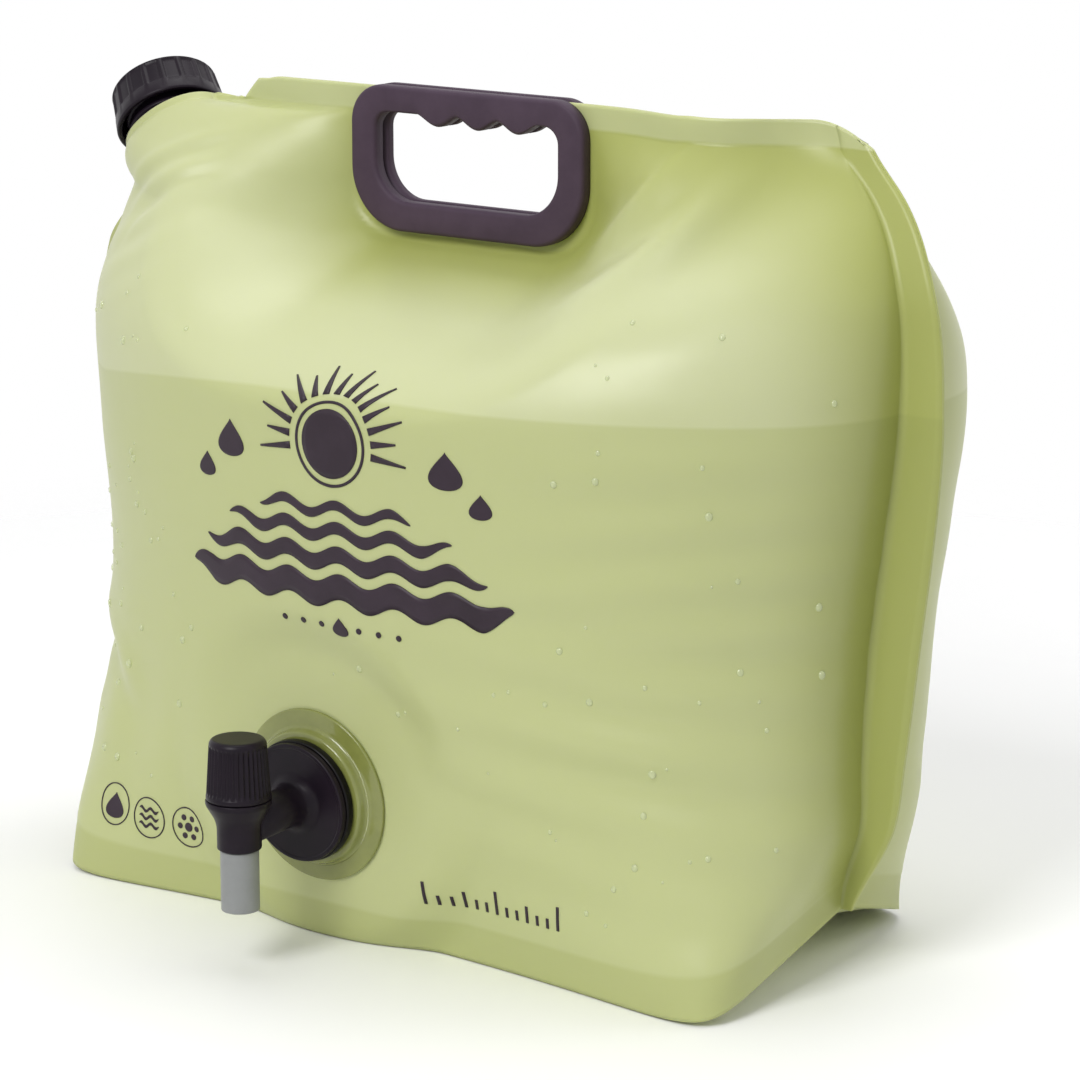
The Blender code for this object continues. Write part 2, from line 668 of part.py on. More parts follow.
def handle_layers(side):
    """Layers of a handle half from the film outward, with its outer edges rounded."""
    start = FIT_GAP / 2 + FILM + FIT_GAP
    layers = [(side * start, handle_outline(0.0), grip_outline(0.0))]
    for k in range(ROUND_STEPS + 1):
        turn = math.pi / 2 * k / ROUND_STEPS
        inset = HANDLE_ROUND * (1 - math.cos(turn))
        y = start + HANDLE_HALF_THICKNESS - HANDLE_ROUND * (1 - math.sin(turn))
        layers.append((side * y, handle_outline(inset), grip_outline(inset)))
    return layers


def pin_places():
    """Places of the pins that hold the two handle halves together, in the middle of its bars."""
    bottom = HANDLE_TOP - HANDLE_HEIGHT + GRIP_BOTTOM_BAR / 2
    top = HANDLE_TOP - GRIP_TOP_BAR / 2
    middle = HANDLE_TOP - HANDLE_HEIGHT / 2
    side = (HANDLE_HALF_WIDTH + GRIP_HALF_WIDTH) / 2
    inner = HANDLE_HALF_WIDTH / 2
    return [(HANDLE_X + x, z) for x, z in ((-inner, bottom), (inner, bottom), (side, middle),
                                           (inner, top), (-inner, top), (-side, middle))]


def pin_mesh(name, radius, start, end):
    """Round pins along Y, one at each pin place."""
    work = bmesh.new()
    for x, z in pin_places():
        place = Matrix.Translation((x, (start + end) / 2, z)) @ Matrix.Rotation(math.pi / 2, 4, "X")
        place = place @ Matrix.Rotation(math.pi / PIN_SEGMENTS, 4, "Z")
        bmesh.ops.create_cone(work, cap_ends=True, segments=PIN_SEGMENTS, radius1=radius, radius2=radius,
                              depth=abs(end - start), matrix=place)
    mesh = bpy.data.meshes.new(name)
    work.to_mesh(mesh)
    work.free()
    return mesh


def handle(material):
    """Two moulded halves clamped on the film, the back one with pins, the front one with their sockets."""
    face = FIT_GAP / 2 + FILM + FIT_GAP
    front = add_part("handle_front", plate_mesh("handle_front", handle_layers(-1)), material)
    back = add_part("handle_back", plate_mesh("handle_back", handle_layers(1)), material)
    reach = -face - (PIN_LENGTH - 2 * face)
    pins = add_cutter("handle_pins", pin_mesh("handle_pins", PIN_RADIUS, reach, face + PIN_RADIUS))
    socket = pin_mesh("handle_sockets", PIN_RADIUS + FIT_GAP, reach - FIT_GAP, face)
    sockets = add_cutter("handle_sockets", socket)
    combine(back, pins, "UNION")
    combine(front, sockets, "DIFFERENCE")
    return front, back


def handle_cut_mesh():
    """Hand hole in the film, set back from the edge of the handle's opening, as an upright plug."""
    loop = grip_outline(FILM_SETBACK, bumps=False)
    depth = FILM + CUT_OVERRUN
    work = bmesh.new()
    ends = [[work.verts.new((x, y, z)) for x, z in loop] for y in (-depth, depth)]
    for k in range(len(loop)):
        n = (k + 1) % len(loop)
        work.faces.new((ends[0][k], ends[0][n], ends[1][n], ends[1][k]))
    work.faces.new(ends[0])
    work.faces.new(list(reversed(ends[1])))
    bmesh.ops.recalc_face_normals(work, faces=work.faces)
    mesh = bpy.data.meshes.new("hand_hole")
    work.to_mesh(mesh)
    work.free()
    return mesh


def cut_film(front, back):
    """Open the film for the hand, the handle's pins and the tap."""
    hole = add_cutter("hand_hole", handle_cut_mesh())
    depth = FILM + CUT_OVERRUN
    pins = add_cutter("pin_holes", pin_mesh("pin_holes", PIN_RADIUS + FIT_GAP, -depth, depth))
    boss = INSERT_BOSS_RADIUS + FIT_GAP
    plug = turned_mesh("tap_hole", [(0, -FILM - CUT_OVERRUN), (boss, -FILM - CUT_OVERRUN),
                                    (boss, CUT_OVERRUN), (0, CUT_OVERRUN)], TAP_SEGMENTS)
    tap_hole = add_cutter("tap_hole", plug, tap_frame())
    for film in (front, back):
        combine(film, hole, "DIFFERENCE")
        combine(film, pins, "DIFFERENCE")
    combine(front, tap_hole, "DIFFERENCE")


def boat_mesh(name):
    """Weld base of the neck: a drawn-out round block, narrowing a little towards its lower end."""
    points, faces = [], []
    levels = ((-BOAT_HEIGHT, BOAT_TIP_SHARE), (-MOUTH_BAND, 1.0), (0.0, 1.0))
    count = 2 * MOUTH_ROWS
    for height, share in levels:
        for k in range(count):
            along, across = mouth_outline(2 * math.pi * k / count, 0.0)
            points.append((share * along, share * across, height))
    for level in range(len(levels) - 1):
        for k in range(count):
            n = (k + 1) % count
            low, high = level * count, (level + 1) * count
            faces.append((low + k, low + n, high + n, high + k))
    faces.append(tuple(reversed(range(count))))
    faces.append(tuple(range((len(levels) - 1) * count, len(levels) * count)))
    return mesh_from(name, points, faces)


def neck_top():
    """Height of the neck's sealing rim above the film's edge."""
    return CAP_RIM_LIFT + CAP_HEIGHT - CAP_TOP - LINER_THICKNESS - 2 * FIT_GAP


def neck_fitting(material):
    """Oval weld base with the threaded neck standing on it and one bore through both."""
    top = neck_top()
    floor = -BOAT_HEIGHT - CUT_OVERRUN
    boat = add_part("neck_fitting", boat_mesh("neck_fitting"), material, neck_frame())
    bead = NECK_RADIUS + NECK_BEAD
    bead_low = CAP_RIM_LIFT - FIT_GAP - NECK_BEAD_HEIGHT
    rim = NECK_BEAD / 2
    tube = turned_mesh("neck_tube", [(0, -BOAT_HEIGHT / 2), (NECK_RADIUS, -BOAT_HEIGHT / 2),
                                     (NECK_RADIUS, bead_low), (bead, bead_low + rim),
                                     (bead, bead_low + NECK_BEAD_HEIGHT - rim),
                                     (NECK_RADIUS, bead_low + NECK_BEAD_HEIGHT),
                                     (NECK_RADIUS, top - rim), (NECK_RADIUS - rim, top), (0, top)],
                       NECK_SEGMENTS)
    bore = turned_mesh("neck_bore", [(0, floor), (NECK_BORE_RADIUS, floor),
                                     (NECK_BORE_RADIUS, top + CUT_OVERRUN), (0, top + CUT_OVERRUN)],
                       NECK_SEGMENTS)
    combine(boat, add_cutter("neck_tube", tube, neck_frame()), "UNION")
    combine(boat, add_cutter("neck_bore", bore, neck_frame()), "DIFFERENCE")
    return boat


def rib_wave(angle):
    """Cap ribs: narrow raised bars with wide plain stretches between them."""
    place = (angle * CAP_RIBS / (2 * math.pi)) % 1.0
    return CAP_RIB_HEIGHT if place < 0.5 else 0.0


def screw_cap(material):
    """Shell of the cap: ribbed grip above a plain band, rounded top edge, hollow below."""
    base, height = CAP_RIM_LIFT, CAP_RIM_LIFT + CAP_HEIGHT
    slope = (CAP_RADIUS - CAP_TOP_RADIUS) / CAP_HEIGHT
    ring = [(CAP_RADIUS - CAP_WALL, base, 0), (CAP_RADIUS - CAP_ROUND / 2, base, 0),
            (CAP_RADIUS, base + CAP_ROUND / 2, 0), (CAP_RADIUS - slope * CAP_BAND, base + CAP_BAND, 0),
            (CAP_RADIUS - slope * CAP_BAND - CAP_RIB_HEIGHT, base + CAP_BAND + CAP_RIB_HEIGHT, 1),
            (CAP_TOP_RADIUS - CAP_RIB_HEIGHT, height - CAP_ROUND, 1),
            (CAP_TOP_RADIUS - CAP_ROUND, height, 0), (0, height, 0),
            (0, height - CAP_TOP, 0), (CAP_TOP_RADIUS - CAP_WALL - CAP_RIB_HEIGHT, height - CAP_TOP, 0)]
    outline = ring[7:] + ring[:8]
    mesh = turned_mesh("screw_cap", outline, CAP_RIBS * CAP_POINTS_PER_RIB, rib_wave,
                       turn=math.pi / (4 * CAP_RIBS))
    return add_part("screw_cap", mesh, material, neck_frame())


def cap_liner(material):
    """Sealing disc between the cap's top and the neck's rim."""
    low = neck_top() + FIT_GAP
    mesh = turned_mesh("cap_liner", [(0, low), (LINER_RADIUS, low), (LINER_RADIUS, low + LINER_THICKNESS),
                                     (0, low + LINER_THICKNESS)], NECK_SEGMENTS)
    return add_part("cap_liner", mesh, material, neck_frame())


def tap_insert(material):
    """Stepped weld flange on the film with its boss through the film and a bore for the spigot."""
    bore = SPIGOT_RADIUS + FIT_GAP
    low, flange = FIT_GAP, FIT_GAP + INSERT_FLANGE
    step = flange + INSERT_STEP
    outline = [(bore, -INSERT_BOSS), (INSERT_BOSS_RADIUS, -INSERT_BOSS), (INSERT_BOSS_RADIUS, low),
               (INSERT_RADIUS, low), (INSERT_RADIUS, flange - INSERT_SLOPE / 2),
               (INSERT_RADIUS - INSERT_SLOPE, flange), (INSERT_STEP_RADIUS + INSERT_SLOPE, flange),
               (INSERT_STEP_RADIUS, flange + INSERT_SLOPE), (INSERT_STEP_RADIUS, step - INSERT_SLOPE / 2),
               (INSERT_STEP_RADIUS - INSERT_SLOPE / 2, step), (bore, step)]
    return add_part("tap_insert", turned_mesh("tap_insert", outline, TAP_SEGMENTS + 8), material, tap_frame())


def washer_level():
    """Distance from the film at which the tap's washer starts."""
    return 2 * FIT_GAP + INSERT_FLANGE + INSERT_STEP


def tap_washer(material):
    """Thick rubber ring between the weld flange and the tap's disc."""
    low, high = washer_level(), washer_level() + WASHER_THICKNESS
    bore = SPIGOT_RADIUS + FIT_GAP
    outline = [(bore, low), (WASHER_RADIUS - WASHER_EDGE, low), (WASHER_RADIUS, low + WASHER_EDGE),
               (WASHER_RADIUS, high - WASHER_EDGE), (WASHER_RADIUS - WASHER_EDGE, high), (bore, high)]
    return add_part("tap_washer", turned_mesh("tap_washer", outline, TAP_SEGMENTS), material, tap_frame())


def disc_level():
    """Distance from the film at which the tap's disc starts."""
    return washer_level() + WASHER_THICKNESS + FIT_GAP


def tap_body(material):
    """Tap moulding: spigot, disc and stub along the tap's axis, an upright barrel with its nipple."""
    low, high = disc_level(), disc_level() + DISC_THICKNESS
    arm = turned_mesh("tap_body", [(0, -SPIGOT_REACH), (SPIGOT_RADIUS, -SPIGOT_REACH), (SPIGOT_RADIUS, low),
                                   (DISC_RADIUS, low), (DISC_RADIUS, high - DISC_EDGE),
                                   (DISC_RADIUS - DISC_EDGE, high), (STUB_ROOT_RADIUS, high),
                                   (STUB_RADIUS, high + STUB_ROOT), (STUB_RADIUS, BARREL_REACH),
                                   (0, BARREL_REACH)], TAP_SEGMENTS)
    body = add_part("tap_body", arm, material, tap_frame())
    seat = BARREL_BOTTOM + SEAT_THICKNESS
    nipple = BARREL_BOTTOM - NIPPLE_LENGTH
    barrel = turned_mesh("tap_barrel", [(0, nipple), (NIPPLE_RADIUS, nipple),
                                        (NIPPLE_RADIUS, BARREL_BOTTOM), (BARREL_RADIUS, BARREL_BOTTOM),
                                        (BARREL_RADIUS, BARREL_TOP - BARREL_FLANGE - BARREL_SHOULDER),
                                        (BARREL_FLANGE_RADIUS, BARREL_TOP - BARREL_FLANGE),
                                        (BARREL_FLANGE_RADIUS, BARREL_TOP), (0, BARREL_TOP)], TAP_SEGMENTS)
    outfall = nipple - CUT_OVERRUN
    chamber = turned_mesh("tap_chamber", [(0, outfall), (SEAT_RADIUS, outfall), (SEAT_RADIUS, seat),
                                          (CHAMBER_RADIUS, seat), (CHAMBER_RADIUS, BARREL_TOP + CUT_OVERRUN),
                                          (0, BARREL_TOP + CUT_OVERRUN)], TAP_SEGMENTS)
    inlet = -SPIGOT_REACH - CUT_OVERRUN
    channel = turned_mesh("tap_channel", [(0, inlet), (CHANNEL_RADIUS, inlet), (CHANNEL_RADIUS, BARREL_REACH),
                                          (0, BARREL_REACH)], TAP_SEGMENTS, turn=math.pi / TAP_SEGMENTS)
    hollow = add_cutter("tap_chamber", chamber, barrel_frame())
    combine(hollow, add_cutter("tap_channel", channel, tap_frame()), "UNION")
    combine(body, add_cutter("tap_barrel", barrel, barrel_frame()), "UNION")
    combine(body, hollow, "DIFFERENCE")
    return body


def outlet_tube(material):
    """Soft grey tube pushed over the barrel's nipple."""
    top, bore = BARREL_BOTTOM - FIT_GAP, NIPPLE_RADIUS + FIT_GAP
    mesh = turned_mesh("outlet_tube", [(bore, TUBE_BOTTOM), (TUBE_RADIUS, TUBE_BOTTOM), (TUBE_RADIUS, top),
                                       (bore, top)], TAP_SEGMENTS)
    return add_part("outlet_tube", mesh, material, barrel_frame())


def tap_bonnet(material):
    """Nut in the top of the barrel that guides the stem."""
    low, top = BARREL_TOP - BONNET_NECK, BARREL_TOP + FIT_GAP + BONNET_HEIGHT
    shoulder = BARREL_TOP + FIT_GAP
    bore, neck = STEM_RADIUS + FIT_GAP, CHAMBER_RADIUS - FIT_GAP
    mesh = turned_mesh("tap_bonnet", [(bore, low), (neck, low), (neck, shoulder), (BONNET_RADIUS, shoulder),
                                      (BONNET_RADIUS, top), (bore, top)], TAP_SEGMENTS)
    return add_part("tap_bonnet", mesh, material, barrel_frame())


def stem_ring(material):
    """Round rubber ring on the stem under the bonnet."""
    middle = STEM_RADIUS + FIT_GAP + RING_WIRE
    height = BARREL_TOP - BONNET_NECK - FIT_GAP - RING_WIRE
    wire = [(middle + RING_WIRE * math.cos(a), height + RING_WIRE * math.sin(a))
            for a in (2 * math.pi * k / 8 for k in range(8))]
    return add_part("stem_ring", turned_mesh("stem_ring", wire, RING_SEGMENTS), material, barrel_frame())


def plug_top():
    """Height of the plug's upper face with the tap shut."""
    return BARREL_BOTTOM + SEAT_THICKNESS + FIT_GAP + PLUG_HEIGHT


def valve_plug(material):
    """Rubber plug that closes the seat, with a socket for the stem's foot."""
    low, top = plug_top() - PLUG_HEIGHT, plug_top()
    bore = STEM_FOOT + FIT_GAP
    floor = top - STEM_FOOT_LENGTH - FIT_GAP
    edge = FIT_GAP * 2
    outline = [(0, low), (PLUG_RADIUS - edge, low), (PLUG_RADIUS, low + edge), (PLUG_RADIUS, top),
               (bore, top), (bore, floor), (0, floor)]
    mesh = turned_mesh("valve_plug", outline, RING_SEGMENTS)
    return add_part("valve_plug", mesh, material, barrel_frame())


def knob_level():
    """Height of the knob's lower edge with the tap shut."""
    return BARREL_TOP + FIT_GAP


def valve_stem(material):
    """Stem from the plug's socket up into the knob's boss."""
    foot = plug_top() - STEM_FOOT_LENGTH
    shoulder = plug_top() + FIT_GAP
    top = knob_level() + KNOB_HEIGHT - KNOB_TOP - FIT_GAP
    edge = STEM_FOOT / 4
    outline = [(0, foot), (STEM_FOOT, foot), (STEM_FOOT, shoulder), (STEM_RADIUS, shoulder),
               (STEM_RADIUS, top - edge), (STEM_RADIUS - edge, top), (0, top)]
    mesh = turned_mesh("valve_stem", outline, RING_SEGMENTS)
    return add_part("valve_stem", mesh, material, barrel_frame())


def flute_wave(angle):
    """Knob flutes: one groove after another round the grip."""
    return -KNOB_FLUTE_DEPTH * (0.5 - 0.5 * math.cos(angle * KNOB_FLUTES))


def tap_knob(material):
    """Fluted knob: plain foot band, fluted grip, crowned top, hollow skirt and a boss for the stem."""
    low, top = knob_level(), knob_level() + KNOB_HEIGHT
    bore = STEM_RADIUS + FIT_GAP
    roof = top - KNOB_TOP
    boss = roof - KNOB_BOSS
    skirt = KNOB_RADIUS - KNOB_WALL
    neck = KNOB_TOP_RADIUS - KNOB_WALL
    crown = top - KNOB_CROWN
    outline = [(0, roof), (bore, roof), (bore, boss), (KNOB_BOSS_RADIUS, boss), (KNOB_BOSS_RADIUS, roof),
               (neck, roof), (skirt, low), (KNOB_RADIUS, low), (KNOB_RADIUS, low + KNOB_BAND),
               (KNOB_RADIUS - KNOB_FLUTE_DEPTH / 2, low + KNOB_BAND + KNOB_FLUTE_DEPTH, 1),
               (KNOB_TOP_RADIUS, crown, 1), (KNOB_TOP_RADIUS - KNOB_ROUND / 2, top - KNOB_ROUND / 2, 0),
               (KNOB_TOP_RADIUS - KNOB_ROUND, top, 0), (0, top)]
    mesh = turned_mesh("tap_knob", outline, KNOB_FLUTES * KNOB_POINTS_PER_FLUTE, flute_wave)
    return add_part("tap_knob", mesh, material, barrel_frame())


def build():
    """Make every piece of the carrier."""
    clear_scene()
    film = finish("green_film", FILM_GREEN, 0.35)
    fitting = finish("green_fitting", FITTING_GREEN, 0.25)
    plum = finish("dark_plum_plastic", DARK_PLUM, 0.35)
    matt = finish("matt_plum_plastic", MATT_PLUM, 0.6)
    rubber = finish("black_rubber", SOFT_BLACK, 0.5)
    tube = finish("grey_tube", TUBE_GREY, 0.45)
    foam = finish("white_liner", LINER_WHITE, 0.7)
    front = panel("front_panel", -1, film)
    back = panel("back_panel", 1, film)
    bottom_gusset(film)
    cut_film(front, back)
    handle(matt)
    neck_fitting(plum)
    screw_cap(plum)
    cap_liner(foam)
    tap_insert(fitting)
    tap_washer(rubber)
    tap_body(plum)
    outlet_tube(tube)
    tap_bonnet(plum)
    stem_ring(rubber)
    valve_plug(rubber)
    valve_stem(plum)
    tap_knob(plum)


build()
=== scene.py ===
import math

import bpy
import numpy as np
from mathutils import Matrix, Vector


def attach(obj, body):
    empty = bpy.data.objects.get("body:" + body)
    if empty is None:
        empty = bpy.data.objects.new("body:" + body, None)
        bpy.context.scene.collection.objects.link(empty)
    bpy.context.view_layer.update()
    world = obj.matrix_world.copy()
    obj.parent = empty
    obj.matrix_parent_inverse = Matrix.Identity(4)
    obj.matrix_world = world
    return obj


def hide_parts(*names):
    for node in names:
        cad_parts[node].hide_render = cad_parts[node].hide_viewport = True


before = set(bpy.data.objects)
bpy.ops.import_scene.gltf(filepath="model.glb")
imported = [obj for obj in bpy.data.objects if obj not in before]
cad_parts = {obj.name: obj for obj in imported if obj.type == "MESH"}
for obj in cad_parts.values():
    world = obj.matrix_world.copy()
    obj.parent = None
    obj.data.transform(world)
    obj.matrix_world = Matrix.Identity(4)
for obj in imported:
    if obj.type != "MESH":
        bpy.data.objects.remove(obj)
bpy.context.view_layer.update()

# Sizes shared with the solids, in metres
FIT_GAP = 0.0003
FILM = 0.0008
BAG_HEIGHT = 0.2915
HALF_WIDTH = 0.188
FOOT_LIFT = 0.0235
SIDE_SEAM = 0.0125
TOP_SEAL = 0.009
SEAL_LEVEL = BAG_HEIGHT - TOP_SEAL
GUSSET_SEAL = 0.013
LEFT_NARROWING = 0.004
SEAM_Y = FIT_GAP / 2 + FILM
WATER_LEVEL = 0.1987
LINE_SINK = 0.0105
TOP_TINT = 0.3
WELD_PRESS = 0.00022
INK_TOP = 0.00028
INK_FOOT = -0.00010
# Painted shade and sheen on the film: within the first distance of the seams' plane its tone deepens to olive
# as painted shade, and beyond it the belly is painted pale as a sheen; the second number takes that painted
# shade partly off the left part as painted light.
PAINTED_SHADE_REACH = 0.050
LEFT_PAINTED_LIGHT = 0.6

# Side seams: height against width, as shares of the bag's height and half width
SEAM_HEIGHTS = (0.0, 0.08, 0.19, 0.275, 0.42, 0.52, 0.683, 0.816, 0.92, 0.96, 1.0)
SEAM_WIDTHS = (0.80, 0.833, 0.918, 0.938, 0.965, 0.984, 1.0, 0.979, 0.917, 0.866, 0.824)
BAND_LEVELS = (0.0, 0.06, 0.12, 1.0)
BAND_WIDTHS = (0.3, 0.75, 1.0, 1.0)

# Swell of the panels and the roundness of their cross sections, by level
SWELL_LEVELS = (0.0, 0.09, 0.2, 0.38, 0.54, 0.66, 0.74, 0.81, 0.88, 0.94, 1.0)
ROUND_LEVELS = (0.0, 0.08, 0.17, 0.3, 0.5, 0.75, 0.88, 1.0)
# Each film's belly, swell, roundness at the right and the left, taper and hollow at the base
FRONT_FORM = (0.0915, (0.857, 0.865, 0.89, 0.965, 1.0, 0.985, 0.87, 0.67, 0.43, 0.21, 0.0),
              (12.0, 5.2, 3.1, 2.4, 2.15, 2.0, 1.8, 1.7), (12.0, 5.2, 3.1, 2.3, 2.05, 1.9, 1.4, 1.3),
              0.02, 0.0143)
BACK_FORM = (0.089, (0.83, 0.86, 0.91, 0.975, 1.0, 0.985, 0.90, 0.73, 0.50, 0.26, 0.0),
             (12.0, 6.0, 4.2, 3.8, 3.8, 3.8, 3.4, 2.8), (12.0, 5.5, 3.4, 2.8, 2.6, 2.4, 1.6, 1.4),
             0.105, 0.009)
CALM_LEVELS = np.array((0.0, 0.12, 0.25, 0.4, 0.55, 0.68, 0.78, 0.87, 0.94, 1.0))
CORNER_START = 0.136
CORNER_BACK = 0.013
CORNER_DRAW = 0.0040
CORNER_DIP = 0.0065
PEAK_DRAW = 0.0070
PEAK_DIP = 0.0012
BEND_LOW = 0.232
BACK_START = 0.100
BACK_END = 0.150
EDGE_FORTH = 0.008
FORTH_X = 0.090
FORTH_WIDTH = 0.022
TAPER_END = 0.25
HOLLOW_END = 0.28

# Neck, cap and liner
NECK_PLACE = Vector((-0.1470, 0.0015, 0.2662))
NECK_LEFT_LEAN = math.radians(41.0)
NECK_BACK_LEAN = math.radians(22.0)
MOUTH_RADIUS = 0.0174
MOUTH_REACH = 0.0245
MOUTH_GAP = 0.0005
MOUTH_START = 0.79
MOUTH_END = 0.97
MOUTH_BAND = 0.0032
PEAK_X = -0.106
BOAT_HEIGHT = 0.0110
NECK_BORE = 0.0138
NECK_RADIUS = 0.0158
CAP_LIFT = 0.0055
CAP_HEIGHT = 0.0162
CAP_RADIUS = 0.0212
CAP_TOP_RADIUS = 0.0199
CAP_WALL = 0.0019
CAP_ROOF = 0.0019
CAP_BARS = 18
BAR_HEIGHT = 0.0007
THREAD_PITCH = 0.004
LINER = 0.0016
LINER_RADIUS = 0.0172

# Handle
HANDLE_X = -0.0056
HANDLE_TOP = 0.2925
HANDLE_HEIGHT = 0.0518
HANDLE_HALF = 0.0514
HANDLE_THICK = 0.0048
HANDLE_BEND = 0.0018
HANDLE_CROWN = 0.00025
GRIP_HALF = 0.0402
GRIP_TOP = 0.0094
GRIP_BOTTOM = 0.0108
HOLE_MARGIN = 0.0035
BUMP = 0.0038
BUMP_PITCH = 0.0176
BUMP_SHIFT = 0.0052
PINCH_MARGIN = 0.002
PINCH_REACH = 0.047
PINCH_ASIDE = 0.061
PINCH_POWER = 1.25
PINCH_CORNER = 0.018

# Tap
TAP_PLACE = Vector((-0.016, -0.0785, 0.053))
TAP_TILT = math.radians(3.0)
INSERT_RADIUS = 0.0312
BOSS_HOLE = 0.0145
SEAT_MARGIN = 0.018
SEAT_BLEND = 0.022
BARREL_REACH = 0.0410
FLANGE_HEIGHT = 0.0052
WASHER_HEIGHT = 0.0032
KNOB_LOW = 0.0615
KNOB_TOP = 0.0827
KNOB_FLUTES = 36
FLUTE_DEPTH = 0.00055


# Curves, frames and meshes

def soft_step(low, high, value):
    """Rises from 0 at low to 1 at high along a cubic: t squared times (3 - 2t)."""
    t = np.clip((value - low) / (high - low), 0.0, 1.0)
    return t * t * (3 - 2 * t)


def curve_through(places, values, at):
    """Cubic Hermite curve through a table, its slopes taken from the neighbours."""
    places, values, at = (np.asarray(a, float) for a in (places, values, at))
    slopes = np.gradient(values, places)
    k = np.clip(np.searchsorted(places, at, side="right") - 1, 0, len(places) - 2)
    step = places[k + 1] - places[k]
    t = np.clip((at - places[k]) / step, 0.0, 1.0)
    return ((2 * t**3 - 3 * t**2 + 1) * values[k] + (t**3 - 2 * t**2 + t) * step * slopes[k]
            + (3 * t**2 - 2 * t**3) * values[k + 1] + (t**3 - t**2) * step * slopes[k + 1])


def stack(*parts):
    """Points from arrays or numbers for x, y and z, spread to one shape."""
    return np.stack(np.broadcast_arrays(*parts), axis=-1).astype(float)


def unit(vectors):
    """Vectors divided by their lengths."""
    return vectors / np.maximum(np.linalg.norm(vectors, axis=-1, keepdims=True), 1e-15)


def neck_frame():
    """Frame on the neck's axis at the film's edge: local Z leans left and back."""
    along = Vector((math.cos(NECK_LEFT_LEAN), 0.0, math.sin(NECK_LEFT_LEAN)))
    axis = Vector((-math.sin(NECK_LEFT_LEAN) * math.cos(NECK_BACK_LEAN), math.sin(NECK_BACK_LEAN),
                   math.cos(NECK_LEFT_LEAN) * math.cos(NECK_BACK_LEAN)))
    turned = Matrix((along, axis.cross(along), axis)).transposed().to_4x4()
    turned.translation = NECK_PLACE
    return turned


def tap_frame():
    """Frame on the tap's axis at the film: local Z points away from the bag."""
    out = Vector((0.0, -math.cos(TAP_TILT), -math.sin(TAP_TILT)))
    side = Vector((1.0, 0.0, 0.0))
    turned = Matrix((side, out.cross(side), out)).transposed().to_4x4()
    turned.translation = TAP_PLACE
    return turned


def barrel_frame():
    """Upright frame on the barrel's axis, at floor height."""
    point = tap_frame() @ Vector((0.0, 0.0, BARREL_REACH))
    return Matrix.Translation((point.x, point.y, 0.0))


def moved(points, matrix):
    """Points carried by a 4 by 4 matrix."""
    turn = np.array(matrix)
    return points @ turn[:3, :3].T + turn[:3, 3]


def new_mesh(name, points, faces, material, flip=False, marks=None):
    """One object from points and faces; marks are numbers per point, kept as attributes."""
    mesh = bpy.data.meshes.new(name)
    mesh.from_pydata(points.reshape(-1, 3).tolist(), [], [f[::-1] for f in faces] if flip else faces)
    for key, values in (marks or {}).items():
        mesh.attributes.new(key, "FLOAT", "POINT").data.foreach_set("value", np.ravel(values))
    mesh.materials.append(material)
    mesh.shade_smooth()
    piece = bpy.data.objects.new(name, mesh)
    bpy.context.scene.collection.objects.link(piece)
    return piece


def grid_faces(rows, columns, close_rows=False, close_columns=False, start=0):
    """Quads of a grid of points, row by row, as an array of corner numbers."""
    r = np.arange(rows if close_rows else rows - 1)[:, None]
    c = np.arange(columns if close_columns else columns - 1)[None, :]
    r2, c2 = (r + 1) % rows, (c + 1) % columns
    corners = (r * columns + c, r * columns + c2, r2 * columns + c2, r2 * columns + c)
    return np.stack(corners, axis=-1).reshape(-1, 4) + start


def volume_of(points, faces):
    """Signed volume of a closed mesh: a sixth of the sum of each corner fan's triple product."""
    p = points.reshape(-1, 3)
    one, two, three, four = (p[faces[:, k]] for k in range(4))
    return ((one * np.cross(two, three)).sum() + (one * np.cross(three, four)).sum()) / 6


def outward(points, faces):
    """Faces turned so that the closed mesh has a positive volume."""
    return faces if volume_of(points, faces) > 0 else faces[:, ::-1]


def closed_shell(outer, inner, loop=False):
    """Points and quads of the solid between two equal grids; loop joins the columns round."""
    rows, columns = outer.shape[:2]
    size = rows * columns
    faces = [grid_faces(rows, columns, close_columns=loop),
             grid_faces(rows, columns, close_columns=loop, start=size)[:, ::-1]]

    def wall(a, b):
        faces.append(np.stack((a, size + a, size + b, b), axis=-1))

    steps = np.arange(columns if loop else columns - 1)
    after = (steps + 1) % columns
    top = (rows - 1) * columns
    wall(steps, after)
    wall(top + after, top + steps)
    if not loop:
        up = np.arange(rows - 1) * columns
        wall(up + columns, up)
        wall(up + columns - 1, up + 2 * columns - 1)
    points = np.concatenate((outer.reshape(-1, 3), inner.reshape(-1, 3)))
    return points, outward(points, np.concatenate(faces))


def mm(rows, up=0.0):
    """Rows of a profile given in millimetres, in metres, moved up by a height in metres."""
    return [(row[0] / 1000, row[1] / 1000 + up, *(v / 1000 for v in row[2:])) for row in rows]


def rounded(corners, steps=4):
    """Profile with its corners rounded: each corner is (r, z, radius), and gets a quadratic curve
    between the two points that lie the radius away from it along its sides."""
    path = np.array([c[:2] for c in corners], float)
    reach = np.array([c[2] if len(c) > 2 else 0.0 for c in corners])
    before, after = np.roll(path, 1, axis=0), np.roll(path, -1, axis=0)
    before[0], after[-1] = path[0], path[-1]
    out = []
    for p, b, a, w in zip(path, before, after, reach):
        if w == 0 or np.allclose(p, b) or np.allclose(p, a):
            out.append(p[None])
            continue
        start = p + (b - p) * min(w / np.linalg.norm(b - p), 0.5)
        end = p + (a - p) * min(w / np.linalg.norm(a - p), 0.5)
        t = np.linspace(0, 1, steps + 1)[:, None]
        out.append((1 - t) ** 2 * start + 2 * t * (1 - t) * p + t**2 * end)
    return np.concatenate(out)


